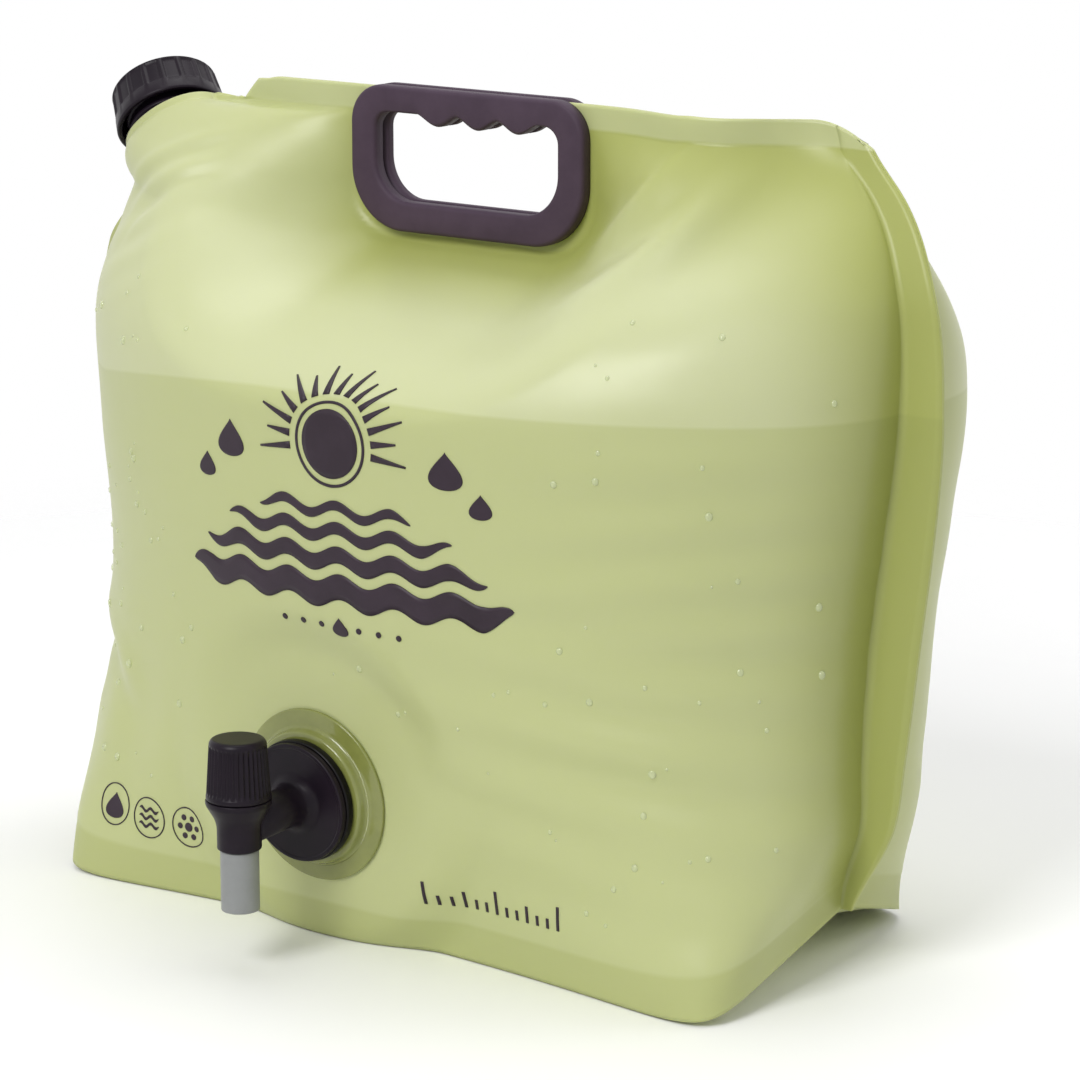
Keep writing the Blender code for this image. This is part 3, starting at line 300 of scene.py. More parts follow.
def turned(name, corners, material, place, segments=96, relief=None, steps=4, closed=False):
    """Surface of revolution about local Z: each profile point (r, z) runs round a circle, and relief
    (angle, r, z) moves it outward. Ends on the axis become poles; closed joins the last to the first."""
    profile = rounded(corners, steps)
    angle = np.arange(segments) * 2 * math.pi / segments
    r, z = profile[:, :1], profile[:, 1:]
    reach = r + (relief(angle[None, :], r, z) if relief else 0.0)
    reach = np.where(r == 0, 0.0, reach)
    points = moved(stack(reach * np.cos(angle), reach * np.sin(angle), z), place)
    faces = grid_faces(len(profile), segments, close_rows=closed, close_columns=True)
    flat = points.reshape(-1, 3)
    poles = [i for i in (0, len(profile) - 1) if r[i, 0] == 0]
    lookup = np.arange(len(flat))
    for i in poles:
        lookup[i * segments:(i + 1) * segments] = i * segments
    faces = outward(flat, lookup[faces])
    used, compact = np.unique(faces, return_inverse=True)
    flat, faces = flat[used], compact.reshape(faces.shape)
    quads = [list(dict.fromkeys(face)) for face in faces.tolist()]
    return new_mesh(name, flat, [f for f in quads if len(f) > 2], material)


# Shaders

def operator(operation, flipped=False):
    """Method of Value that adds one Math node, its two operands changed over if flipped."""
    def method(self, other):
        return self.maths(operation, *((other, self) if flipped else (self, other)))
    return method


class Value:
    """A shader number that can stand in plain arithmetic."""

    def __init__(self, finish, socket):
        self.finish, self.socket = finish, socket

    def maths(self, operation, *values, **settings):
        return self.finish.node("ShaderNodeMath", {"operation": operation, **settings}, *values).out(0)

    __add__, __radd__ = operator("ADD"), operator("ADD", True)
    __sub__, __rsub__ = operator("SUBTRACT"), operator("SUBTRACT", True)
    __mul__, __rmul__ = operator("MULTIPLY"), operator("MULTIPLY", True)
    __pow__ = operator("POWER")

    def capped(self):
        return self.maths("ADD", self, 0.0, use_clamp=True)

    def ramp(self, low, high):
        """0 below low and 1 above high, straight between."""
        return self.maths("MULTIPLY", self - low, 1 / (high - low), use_clamp=True)


class Outputs:
    """What a node gives out, by number or name."""

    def __init__(self, finish, made):
        self.finish, self.made = finish, made

    def out(self, key):
        return Value(self.finish, self.made.outputs[key])


class Finish:
    """A material under construction."""

    def __init__(self, name, colour=None, **constants):
        self.material = bpy.data.materials.new(name)
        self.material.use_nodes = True
        self.tree = self.material.node_tree
        self.shader = self.tree.nodes["Principled BSDF"]
        if colour is not None:
            self.shader.inputs["Base Color"].default_value = (*colour, 1.0)
            self.material.diffuse_color = (*colour, 1.0)
        for key, value in constants.items():
            self.shader.inputs[key.replace("_", " ")].default_value = value

    def node(self, kind, settings=None, *values, **named):
        """One node: its settings first, then its inputs, by number or by name."""
        made = self.tree.nodes.new(kind)
        for key, value in (settings or {}).items():
            setattr(made, key, value)
        for key, value in list(enumerate(values)) + [(k.replace("_", " "), v) for k, v in named.items()]:
            if isinstance(value, Value):
                self.tree.links.new(value.socket, made.inputs[key])
            elif value is not None:
                made.inputs[key].default_value = value
        return Outputs(self, made)

    def place(self):
        return self.node("ShaderNodeTexCoord").out("Object")

    def height(self):
        return self.node("ShaderNodeSeparateXYZ", None, self.place()).out("Z")

    def mark(self, name):
        return self.node("ShaderNodeAttribute", {"attribute_name": name}).out("Fac")

    def noise(self, scale, detail=3.0, roughness=0.5):
        """Noise about 0.5, on Object coordinates."""
        return self.node("ShaderNodeTexNoise", None, Vector=self.place(), Scale=scale, Detail=detail,
                         Roughness=roughness).out("Fac")

    def mix(self, share, one, two):
        """Colour between one and two."""
        made = self.node("ShaderNodeMix", {"data_type": "RGBA"})
        for key, value in ((0, share), (6, one), (7, two)):
            if isinstance(value, Value):
                self.tree.links.new(value.socket, made.made.inputs[key])
            else:
                made.made.inputs[key].default_value = value if key == 0 else (*value, 1.0)
        return made.out(2)

    def bump(self, value, depth, strength=1.0, under=None):
        named = {"Strength": strength, "Distance": depth, "Height": value}
        if under is not None:
            named["Normal"] = under
        return self.node("ShaderNodeBump", None, **named).out(0)

    def feed(self, **links):
        for key, value in links.items():
            self.tree.links.new(value.socket, self.shader.inputs[key.replace("_", " ")])
        return self


def tone(code):
    """Linear colour from a six-digit sRGB code."""
    parts = np.array([int(code[k:k + 2], 16) for k in (0, 2, 4)]) / 255
    return tuple(np.where(parts <= 0.04045, parts / 12.92, ((parts + 0.055) / 1.055) ** 2.4).tolist())


def moulded(name, colour, worn, roughness, grain=1800.0, depth=0.00003, **constants):
    """Moulded plastic: cloudy colour, uneven gloss and a fine grain."""
    finish = Finish(name, colour, Roughness=roughness, **constants)
    cloud = finish.noise(60.0, 4.0, 0.6)
    fine = finish.noise(grain, 2.0, 0.6)
    finish.feed(Base_Color=finish.mix(cloud.ramp(0.35, 0.75), colour, worn),
                Roughness=(roughness - 0.06) + 0.12 * cloud,
                Normal=finish.bump(fine, depth, 0.6))
    return finish.material


def film_finish():
    """Milky soft film: deeper green under the water line and where it is welded. Its tone also carries
    painted light: a deeper olive as painted shade where the front and back lie close together near the seams,
    a paler painted sheen where they swell apart, and paler painted light on the left; the water line sinks a
    little towards the left."""
    finish = Finish("green_film", tone("c2cc80"), Roughness=0.38, Specular_IOR_Level=0.42,
                    Subsurface_Weight=0.25, Subsurface_Radius=(0.012, 0.014, 0.006), Subsurface_Scale=1.0,
                    Alpha=0.93)
    height = finish.height()
    ripple = finish.noise(22.0, 3.0, 0.55)
    cloud = finish.noise(9.0, 2.0, 0.5)
    bend = finish.node("ShaderNodeSeparateXYZ", None, finish.place()).out("X").ramp(-0.130, -0.010)
    line = height + LINE_SINK * (1 - bend) ** 2
    wet = 1 - line.ramp(WATER_LEVEL - 0.0006, WATER_LEVEL + 0.0006)
    weld = finish.mark("weld")
    # Share of painted sheen: the painted shade mark turned round, with random cloudiness; each tone pair
    # below runs from painted shade (deep olive) to painted sheen (pale).
    depth = 1 - finish.mark("painted_shade")
    full = (depth + 0.16 * (cloud - 0.5)).capped()
    dry_tone = finish.mix(full, tone("b0b862"), tone("d3daa0"))
    wet_tone = finish.mix(full, tone("a6ae5c"), tone("c6ce8c"))
    base = finish.mix(wet, dry_tone, wet_tone)
    base = finish.mix(weld * 0.4, base, tone("aeb664"))
    finish.feed(Base_Color=base,
                Roughness=0.30 + 0.10 * ripple + 0.06 * weld,
                Normal=finish.bump(ripple, 0.0012, 0.35,
                                   finish.bump(finish.noise(900.0, 2.0), 0.00004, 0.25)))
    return finish.material


FILM_GREEN = film_finish()
PLUM = moulded("dark_plum_plastic", tone("18121a"), tone("211922"), 0.36, Specular_IOR_Level=0.14)
HANDLE_PLUM = moulded("matt_plum_plastic", tone("3f313f"), tone("4a3b4a"), 0.58, grain=2600.0, depth=0.00005,
                       Specular_IOR_Level=0.22)
RUBBER = moulded("black_rubber", tone("080607"), tone("0f0c0d"), 0.34, Specular_IOR_Level=0.15)
GREY = moulded("grey_tube", tone("808282"), tone("8e9090"), 0.42, Subsurface_Weight=0.2,
               Subsurface_Radius=(0.002, 0.002, 0.002), Subsurface_Scale=1.0)
WELD_GREEN = moulded("green_fitting", tone("868c48"), tone("989e56"), 0.14, grain=300.0,
                     Transmission_Weight=0.25, Coat_Weight=0.4, IOR=1.46)
LINER_WHITE = moulded("white_liner", tone("dcdcd6"), tone("e6e6e2"), 0.6)
DROP = Finish("clear_drop", tone("d6deb0"), Roughness=0.06, Specular_IOR_Level=0.6, Coat_Weight=0.5,
              Alpha=0.55).material
INK = moulded("plum_ink", tone("2a1f28"), tone("342833"), 0.42, grain=700.0, Specular_IOR_Level=0.25)


# The bag's film

def mouth_point(angle, height):
    """Edge of the open corner: a circle on its left, drawn out to an ellipse on its right."""
    grow = MOUTH_GAP + FILM
    length = np.where(np.cos(angle) > 0, MOUTH_REACH, MOUTH_RADIUS) + grow
    local = stack(length * np.cos(angle), (MOUTH_RADIUS + grow) * np.sin(angle), height)
    return moved(local, neck_frame())


def side_lines(level, side):
    """Inner and outer lines of the right and the left side seam, for an array of levels. The left
    one leaves the side at the cut corner, runs round the mouth and ends at the peak."""
    band = SIDE_SEAM * curve_through(BAND_LEVELS, BAND_WIDTHS, level)
    z = FOOT_LIFT + level * (SEAL_LEVEL - FOOT_LIFT)
    wide = HALF_WIDTH * curve_through(SEAM_HEIGHTS, SEAM_WIDTHS, z / BAG_HEIGHT)
    right, right_out = stack(wide - band, 0.0, z), stack(wide, 0.0, z)
    start, end = mouth_point(np.array(math.pi), -MOUTH_BAND), mouth_point(np.array(0.0), -MOUTH_BAND)
    up = mouth_point(np.array(math.pi), 0.0) - start
    climb = np.clip(level / MOUTH_START, 0, 1)
    z_left = FOOT_LIFT + climb * (start[2] - FOOT_LIFT)
    wide_left = HALF_WIDTH * curve_through(SEAM_HEIGHTS, SEAM_WIDTHS, z_left / BAG_HEIGHT)
    join, turn = soft_step(0.8, 1.0, climb), soft_step(0.88, 1.0, climb)[..., None]
    flank = stack((band - wide_left + LEFT_NARROWING) * (1 - join) + start[0] * join, 0.0, z_left)
    flank_out = flank + stack(-band, 0.0, 0.0) * (1 - turn) + up * turn
    angle = math.pi * np.clip((MOUTH_END - level) / (MOUTH_END - MOUTH_START), 0, 1)
    ring = mouth_point(side * angle, -MOUTH_BAND)
    rise = np.clip((level - MOUTH_END) / (1 - MOUTH_END), 0, 1)[..., None]
    peak = end + rise * (np.array((PEAK_X, 0.0, SEAL_LEVEL)) - end)
    peak_out = peak + up * (1 - rise) + rise * np.array((-0.4 * SIDE_SEAM, 0.0, 0.0))
    low, high = (level <= MOUTH_START)[..., None], (level > MOUTH_END)[..., None]
    left = np.where(low, flank, np.where(high, peak, ring))
    left_out = np.where(low, flank_out, np.where(high, peak_out, ring + up))
    return left, left_out, right, right_out


def pinch(x, z):
    """Share of the swell near the handle: a quarter sine of the distance from its rounded outline, to
    a power over 1 so that it starts softly; the reach is longer sideways. The distance is measured
    from a smaller rectangle, and the flat share that is taken off it blends between both ways."""
    start = PINCH_CORNER + PINCH_MARGIN
    inner = PINCH_CORNER - HANDLE_HEIGHT / 2
    u = np.maximum(np.abs(x - HANDLE_X) - HANDLE_HALF + PINCH_CORNER, 0.0) / (start + PINCH_ASIDE)
    v = np.maximum(np.abs(z - (HANDLE_TOP - HANDLE_HEIGHT / 2)) + inner, 0.0) / (start + PINCH_REACH)
    far = np.maximum(np.hypot(u, v), 1e-9)
    flat = start * ((u / far) ** 2 / (start + PINCH_ASIDE) + (v / far) ** 2 / (start + PINCH_REACH))
    return np.sin(math.pi / 2 * np.clip((far - flat) / (1 - flat), 0, 1)) ** PINCH_POWER


def on_seat(points):
    """Film moved onto the tap's flat seat within its radius, and blended back outside it."""
    out = np.array(tap_frame().to_3x3() @ Vector((0.0, 0.0, 1.0)))
    away = points - np.array(TAP_PLACE)
    height = away @ out
    radius = np.linalg.norm(away - height[..., None] * out, axis=-1)
    rim = INSERT_RADIUS + SEAT_MARGIN
    hold = 1 - soft_step(rim, rim + SEAT_BLEND, radius)
    return points - (height * hold)[..., None] * out


def panel_points(level, turn, side):
    """Plain panel without its bands: at each level a half superellipse from the right seam to the
    left, x = across the seams, y = swell times the curve's rise, held flat at the handle and hollow
    at the base. Level and turn are arrays of one shape."""
    left, _, right, _ = side_lines(level, side)
    tame = side_lines(CALM_LEVELS, side)[0]
    calm = stack(*(curve_through(CALM_LEVELS, tame[:, k], level) for k in range(3)))
    belly, swells, rights, lefts, taper, depth = FRONT_FORM if side < 0 else BACK_FORM
    swell = belly * curve_through(SWELL_LEVELS, swells, level)
    right_round = curve_through(ROUND_LEVELS, rights, level)
    left_round = curve_through(ROUND_LEVELS, lefts, level)
    power = right_round + (left_round - right_round) * soft_step(0.35 * math.pi, 0.65 * math.pi, turn)
    cosine, sine = np.cos(turn), np.maximum(np.sin(turn), 1e-9)
    reach = (np.abs(cosine) ** power + sine ** power) ** (-1 / power)
    across, rise = reach * cosine, reach * sine
    across = across * (1 - taper * (1 - soft_step(0.0, TAPER_END, level)) * rise)
    share = (across + 1) / 2
    near = ((1 - np.clip(share / 0.3, 0, 1)) ** 2)[..., None]
    start = calm + (left - calm) * near
    x = start[..., 0] + (right[..., 0] - start[..., 0]) * share
    middle = level * SEAL_LEVEL
    side_z = start[..., 2] + (right[..., 2] - start[..., 2]) * share
    follow = soft_step(0.0, 0.5, level)
    z = middle + (side_z - middle) * ((1 - rise) * (1 - follow) + follow)
    hollow = depth * (1 - soft_step(0.0, HOLLOW_END, level)) * (1 - across**2) * rise
    loose = pinch(x, z)
    y = side * (SEAM_Y + swell * rise * loose - hollow) + start[..., 1] * (1 - share) ** 3 * loose
    points = stack(x, y, z)
    return on_seat(points) if side < 0 else points


def waves(x, z, centre, size, across, length, bend, phase):
    """A patch of parallel soft folds: a cosine across them under a bell of the given size."""
    dx, dz = x - centre[0], z - centre[1]
    c, s = math.cos(across), math.sin(across)
    u, v = dx * c + dz * s, dz * c - dx * s
    bell = np.exp(-(u / size[0]) ** 2 - (v / size[1]) ** 2)
    return bell * np.cos(2 * math.pi * v / length + phase + bend * np.sin(u / size[0] * 1.3))


def crease(x, z, start, end, bow, width):
    """A soft ridge along a bowed line from start to end: a bell across it, fading at both ends."""
    dx, dz = end[0] - start[0], end[1] - start[1]
    length = math.hypot(dx, dz)
    along = ((x - start[0]) * dx + (z - start[1]) * dz) / length**2
    off = ((z - start[1]) * dx - (x - start[0]) * dz) / length - bow * 4 * along * (1 - along)
    return np.exp(-(off / width) ** 2) * soft_step(-0.1, 0.25, along) * (1 - soft_step(0.7, 1.15, along))


# Patches of soft folds: depth, centre, size, tilt, length, bend and phase; and creases: depth, start,
# end, bow and width
FRONT_WAVES = ((0.0016, (0.112, 0.088), (0.055, 0.050), -0.10, 0.024, 0.5, 0.0),
               (0.0011, (0.130, 0.150), (0.042, 0.040), 0.15, 0.020, 0.8, 1.2),
               (0.0014, (0.120, 0.250), (0.040, 0.030), 0.75, 0.060, 0.2, 2.4),
               (0.0012, (-0.090, 0.236), (0.045, 0.030), -0.55, 0.040, 0.3, 0.5),
               (0.0007, (-0.128, 0.240), (0.022, 0.018), 0.5, 0.012, 0.6, 0.0),
               (0.0010, (-0.125, 0.060), (0.030, 0.045), 1.35, 0.034, 0.4, 0.0))
BACK_WAVES = ((0.0012, (-0.080, 0.090), (0.060, 0.050), 0.12, 0.024, 0.6, 0.0),
              (0.0010, (0.090, 0.170), (0.050, 0.060), -0.3, 0.034, 0.5, 1.0),
              (0.0015, (-0.100, 0.232), (0.045, 0.026), 0.5, 0.030, 0.4, 0.7))
FRONT_CREASES = ((0.0015, (0.048, 0.238), (0.094, 0.284), -0.005, 0.0046),
                 (-0.0017, (0.046, 0.229), (0.106, 0.276), -0.006, 0.0056),
                 (0.0016, (0.034, 0.221), (0.118, 0.270), -0.008, 0.0062),
                 (0.0006, (-0.010, 0.2335), (0.060, 0.2330), -0.004, 0.0040),
                 (-0.0007, (-0.004, 0.2270), (0.064, 0.2275), -0.004, 0.0046),
                 (0.0006, (-0.060, 0.230), (-0.118, 0.258), 0.004, 0.0080),
                 (-0.0022, (-0.160, 0.088), (-0.112, 0.062), 0.004, 0.0060),
                 (0.0016, (-0.160, 0.101), (-0.108, 0.074), 0.004, 0.0065),
                 (0.0011, (-0.150, 0.246), (-0.098, 0.274), 0.005, 0.0024),
                 (-0.0010, (-0.1458, 0.2418), (-0.098, 0.2698), 0.005, 0.0024),
                 (0.0008, (-0.1412, 0.2372), (-0.098, 0.2652), 0.005, 0.0024),
                 (-0.0008, (-0.1360, 0.2320), (-0.098, 0.2600), 0.005, 0.0024))


def folds(x, z, side):
    """Dents and soft folds of one film, in metres outward: the sum of its table's patches and
    creases."""
    patches, creases = (FRONT_WAVES, FRONT_CREASES) if side < 0 else (BACK_WAVES, ())
    return (sum(depth * waves(x, z, *rest) for depth, *rest in patches)
            + sum(depth * crease(x, z, *rest) for depth, *rest in creases))


def film_surface(level, turn, side):
    """Panel with its folds, and its unit normals: the plain panel moved along the cross product of
    its two slopes. Level and turn are arrays of one shape."""
    small = 0.0008
    plain = panel_points(level, turn, side)
    up = (panel_points(np.minimum(level + small, 1.0), turn, side)
          - panel_points(np.maximum(level - small, 0.0), turn, side))
    run = (panel_points(level, np.minimum(turn + small, math.pi), side)
           - panel_points(level, np.maximum(turn - small, 0.0), side))
    normal = unit(np.cross(run, up))
    normal = normal * side * (1 if normal[..., 1].mean() > 0 else -1)
    x, z = plain[..., 0], plain[..., 2]
    fade = (np.sqrt(np.sin(np.clip(turn, 0, math.pi)).clip(0)) * soft_step(0.0, 0.10, level)
            * soft_step(0.0, 0.4, pinch(x, z)))
    if side < 0:
        fade = fade * soft_step(0.034, 0.060, np.hypot(x - TAP_PLACE.x, z - TAP_PLACE.z))
    lift = folds(x, z, side) * fade
    return plain + normal * lift[..., None], normal


def top_bend(grid):
    """Both films swing out of their plane right of the handle: forward under a bell at the middle of
    the free stretch, and back at the corner, where the edge also draws in."""
    x, z = grid[..., 0], grid[..., 2]
    high = soft_step(BEND_LOW, BAG_HEIGHT, z)
    back = CORNER_BACK * soft_step(BACK_START, BACK_END, x) * high
    forth = EDGE_FORTH * np.exp(-((x - FORTH_X) / FORTH_WIDTH) ** 2) * high
    return grid + stack(-0.75 * back, back - forth, 0.0)


def sheet_normals(grid, side):
    """Unit normals of a finished grid from its slopes, turned to the panel's outside."""
    normal = unit(np.cross(np.gradient(grid, axis=1), np.gradient(grid, axis=0)))
    return normal * side * np.sign(normal[:, :, 1].mean())


def pierced_shell(outer, inner, kept):
    """Points and quads of the thin solid between two grids, over the cells that are kept: both
    faces of each kept cell, and a wall along each edge where its neighbour is missing."""
    rows, columns = outer.shape[:2]
    size = rows * columns
    face = grid_faces(rows, columns).reshape(rows - 1, columns - 1, 4)
    top = face[kept]
    walls = [top, top[:, ::-1] + size]
    framed = np.pad(kept, 1)
    for (dr, dc), (a, b) in (((-1, 0), (0, 1)), ((0, 1), (1, 2)), ((1, 0), (2, 3)), ((0, -1), (3, 0))):
        beside = framed[1 + dr:framed.shape[0] - 1 + dr, 1 + dc:framed.shape[1] - 1 + dc]
        edge = face[kept & ~beside]
        walls.append(np.stack((edge[:, a], edge[:, a] + size, edge[:, b] + size, edge[:, b]), axis=-1))
    faces = np.concatenate(walls)
    points = np.concatenate((outer.reshape(-1, 3), inner.reshape(-1, 3)))
    used, compact = np.unique(faces, return_inverse=True)
    points, faces = points[used], compact.reshape(faces.shape)
    return points, outward(points, faces), used


def hole_loops():
    """Edges of the film's holes as (x, z) loops: round the hand opening, and round the tap's boss."""
    wide = GRIP_HALF + HOLE_MARGIN
    low, high = HANDLE_TOP - HANDLE_HEIGHT + GRIP_BOTTOM - HOLE_MARGIN, HANDLE_TOP - GRIP_TOP + HOLE_MARGIN
    turn = np.linspace(0, 2 * math.pi, 400, endpoint=False)
    cosine, sine = np.cos(turn), np.sin(turn)
    reach = (np.abs(cosine) ** 5 + np.abs(sine) ** 5) ** (-1 / 5)
    hand = stack(HANDLE_X + wide * reach * cosine, (low + high) / 2 + (high - low) / 2 * reach * sine)
    boss = stack(TAP_PLACE.x + BOSS_HOLE * cosine, TAP_PLACE.z + BOSS_HOLE * math.cos(TAP_TILT) * sine)
    return hand, boss


def pierce(grid, loops, centres):
    """Mask of the cells outside every loop; the points round the cells left out slide onto the
    loop's nearest point, where the film is flat."""
    x, z = grid[..., 0], grid[..., 2]
    kept = np.ones((grid.shape[0] - 1, grid.shape[1] - 1), bool)
    for loop, centre in zip(loops, centres):
        radius = np.hypot(x - centre[0], z - centre[1])
        turn = np.arctan2(z - centre[1], x - centre[0])
        loop_turn = np.arctan2(loop[:, 1] - centre[1], loop[:, 0] - centre[0])
        order = np.argsort(loop_turn)
        reach = np.interp(turn, loop_turn[order], np.hypot(*(loop - centre).T)[order], period=2 * math.pi)
        inside = radius < reach
        cell = inside[:-1, :-1] | inside[1:, :-1] | inside[:-1, 1:] | inside[1:, 1:]
        kept &= ~cell
        corner = np.zeros(grid.shape[:2], int)
        for dr in (0, 1):
            for dc in (0, 1):
                corner[dr:dr + cell.shape[0], dc:dc + cell.shape[1]] += cell
        edge = (corner > 0) & ~inside
        spots = np.stack((x[edge], z[edge]), axis=-1)
        nearest = np.argmin(((spots[:, None] - loop[None]) ** 2).sum(axis=-1), axis=1)
        grid[edge, 0], grid[edge, 2] = loop[nearest, 0], loop[nearest, 1]
    return kept


def film_panel(name, side):
    """One panel with its side bands and top seal as a thin closed shell with its holes, folds added
    along its normals and the welds pressed a little thinner."""
    count, columns = ((190, 241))
    level = np.unique(np.concatenate((np.linspace(0, 0.12, count // 8),
                                      np.linspace(0.12, MOUTH_START, count // 2),
                                      np.linspace(MOUTH_START, 1, count // 3))))
    turn = np.linspace(0, math.pi, columns)
    level_grid, turn_grid = np.broadcast_arrays(level[:, None], turn[None, :])
    body, _ = film_surface(level_grid, turn_grid, side)
    left, left_out, right, right_out = side_lines(level, side)
    aside = np.array((0.0, side * SEAM_Y, 0.0))
    t = np.linspace(0, 1, 6)[None, :, None]
    band_right = ((right_out + aside)[:, None] * (1 - t) + body[:, :1] * t)[:, :-1]
    band_left = (body[:, -1:] * (1 - t) + (left_out + aside)[:, None] * t)[:, 1:]
    sheet = np.concatenate((band_right, body, band_left), axis=1)
    weld = np.zeros(sheet.shape[:2])
    weld[:, :5] = weld[:, -5:] = (1 - (1 - TOP_TINT) * soft_step(0.82, 0.97, level))[:, None]
    rise = np.linspace(0, 1, 9)[1:, None]
    top = np.repeat(sheet[-1][None], len(rise), axis=0)
    edge_x = top[..., 0]
    corner = np.clip((edge_x - CORNER_START) / (edge_x.max() - CORNER_START), 0, 1)
    peak = soft_step(0.092, -edge_x.min(), -edge_x)
    top[..., 2] += TOP_SEAL * rise
    top[..., 0] += PEAK_DRAW * peak * rise - CORNER_DRAW * corner * rise**1.5
    top[..., 2] -= CORNER_DIP * corner**2 * rise + PEAK_DIP * peak * rise**2
    sheet = np.concatenate((sheet, top))
    flat_y = sheet[..., 1].copy()
    sheet = top_bend(sheet)
    weld = np.concatenate((weld, np.full(top.shape[:2], TOP_TINT)))
    foot = 1 - soft_step(GUSSET_SEAL - 0.0006, GUSSET_SEAL + 0.0006, level * SEAL_LEVEL)
    weld[:len(level), 5:-5] = np.maximum(weld[:len(level), 5:-5], foot[:, None])
    hand, boss = hole_loops()
    centres = ((HANDLE_X, HANDLE_TOP - HANDLE_HEIGHT / 2), (TAP_PLACE.x, TAP_PLACE.z))
    loops = (hand, boss) if side < 0 else (hand,)
    kept = pierce(sheet, loops, centres)
    normal = sheet_normals(sheet, side)
    inner = sheet - FILM * normal
    sheet = sheet - WELD_PRESS * weld[..., None] * normal
    for grid in (sheet, inner):
        grid[..., 2] = grid[..., 2].clip(0.0)
    points, faces, used = pierced_shell(sheet, inner, kept)
    # Painted shade mark: 1 where the flat film lies in the seams' plane, 0 a reach away from it; the top seal
    # keeps a part of it, and on the left most of it is taken off as painted light.
    painted_shade = 1 - soft_step(0.0, PAINTED_SHADE_REACH, np.abs(flat_y))
    painted_shade[len(level):] *= TOP_TINT
    painted_shade *= 1 - LEFT_PAINTED_LIGHT * (1 - soft_step(-0.075, -0.050, sheet[..., 0]))
    marks = {"weld": np.tile(np.ravel(weld), 2)[used], "painted_shade": np.tile(np.ravel(painted_shade), 2)[used]}
    return new_mesh(name, points, faces.tolist(), FILM_GREEN, marks=marks)


FRONT = film_panel("front_film", -1)
BACK = film_panel("back_film", 1)


def gusset():
    """Folded bottom: rings that follow both panels' lower edges on their inner side, then run in
    along the floor, the outermost part lifting towards the side seams' feet."""
    top = GUSSET_SEAL / SEAL_LEVEL
    turn = np.linspace(0, math.pi, 121)
    shares = np.array((1.0, 0.8, 0.6, 0.4, 0.2, 0.05))
    front, back = (panel_points(*np.broadcast_arrays((top * shares)[:, None], turn[None, :]), side)
                   for side in (-1, 1))
    ring = np.concatenate((front[:, :-1], back[:, ::-1][:, :-1]), axis=1)
    flat = ring[-1].copy()
    floor = []
    for share in (0.985, 0.95, 0.9, 0.8, 0.7, 0.6, 0.3, 0.02):
        row = flat * share
        row[:, 2] = flat[:, 2] * max(0.0, (share - 0.6) / 0.4) ** 1.5
        floor.append(row)
    ring = np.concatenate((ring, np.array(floor)))
    centre = np.array((0.0, 0.0, 0.03))
    shell = []
    for inset, lift in ((FILM + 2 * FIT_GAP, 0.0001), (2 * FILM + 2 * FIT_GAP, FILM)):
        run = (np.roll(ring, -1, axis=1) - np.roll(ring, 1, axis=1))[..., :2]
        out = unit(stack(-run[..., 1], run[..., 0]))
        out = out * np.sign((out * (ring - centre)[..., :2]).sum(axis=-1).mean())
        copy = ring.copy()
        copy[..., :2] -= inset * out
        copy[6:, :, 2] += lift
        shell.append(copy)
    points, faces = closed_shell(shell[0], shell[1], loop=True)
    weld = np.tile(np.ravel(np.concatenate((np.ones(ring[:6].shape[:2]), np.zeros(ring[6:].shape[:2])))), 2)
    # The bottom fold has no painted shade mark, so it takes the pale painted-sheen tone.
    marks = {"weld": weld, "painted_shade": weld * 0}
    return new_mesh("bottom_fold", points, faces.tolist(), FILM_GREEN, marks=marks)


GUSSET = gusset()
for piece, node in ((FRONT, "front_panel"), (BACK, "back_panel"), (GUSSET, "bottom_gusset")):
    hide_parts(node)
    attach(piece, "carrier")


# Handle

def arc(centre, radius, start, end, count):
    """Points on an arc, ends included."""
    turn = np.linspace(start, end, count)
    return stack(centre[0] + radius * np.cos(turn), centre[1] + radius * np.sin(turn))


def even(loop, count):
    """Closed loop resampled at equal steps along its length."""
    closed = np.concatenate((loop, loop[:1]))
    step = np.linalg.norm(np.diff(closed, axis=0), axis=-1)
    run = np.concatenate(([0.0], np.cumsum(step)))
    at = np.linspace(0, run[-1], count, endpoint=False)
    return stack(np.interp(at, run, closed[:, 0]), np.interp(at, run, closed[:, 1]))


def handle_loops(count):
    """Outer edge and hand opening of the handle as loops of (x, z), both from the lower left; the
    opening's top has three finger bumps, each a raised cosine."""
    quarter = math.pi / 2

    def outline(half, low, high, big, small, steps, top=np.zeros((0, 2))):
        left, right = HANDLE_X - half, HANDLE_X + half
        loop = (arc((left + big, low + big), big, -2 * quarter, -quarter, 24),
                arc((right - big, low + big), big, -quarter, 0, 24),
                arc((right - small, high - small), small, 0, quarter, steps), top,
                arc((left + small, high - small), small, quarter, 2 * quarter, steps))
        return even(np.concatenate(loop), count)

    low, high = HANDLE_TOP - HANDLE_HEIGHT, HANDLE_TOP - GRIP_TOP
    share = np.linspace(0, 1, 90)
    span = 3 * BUMP_PITCH
    bumps = stack(HANDLE_X + BUMP_SHIFT + span / 2 - span * share,
                  high - BUMP * (0.5 - 0.5 * np.cos(6 * math.pi * share)) ** 0.8)
    return (outline(HANDLE_HALF, low, HANDLE_TOP, 0.0225, 0.0135, 18),
            outline(GRIP_HALF, low + GRIP_BOTTOM, high, 0.0150, 0.0062, 14, bumps))


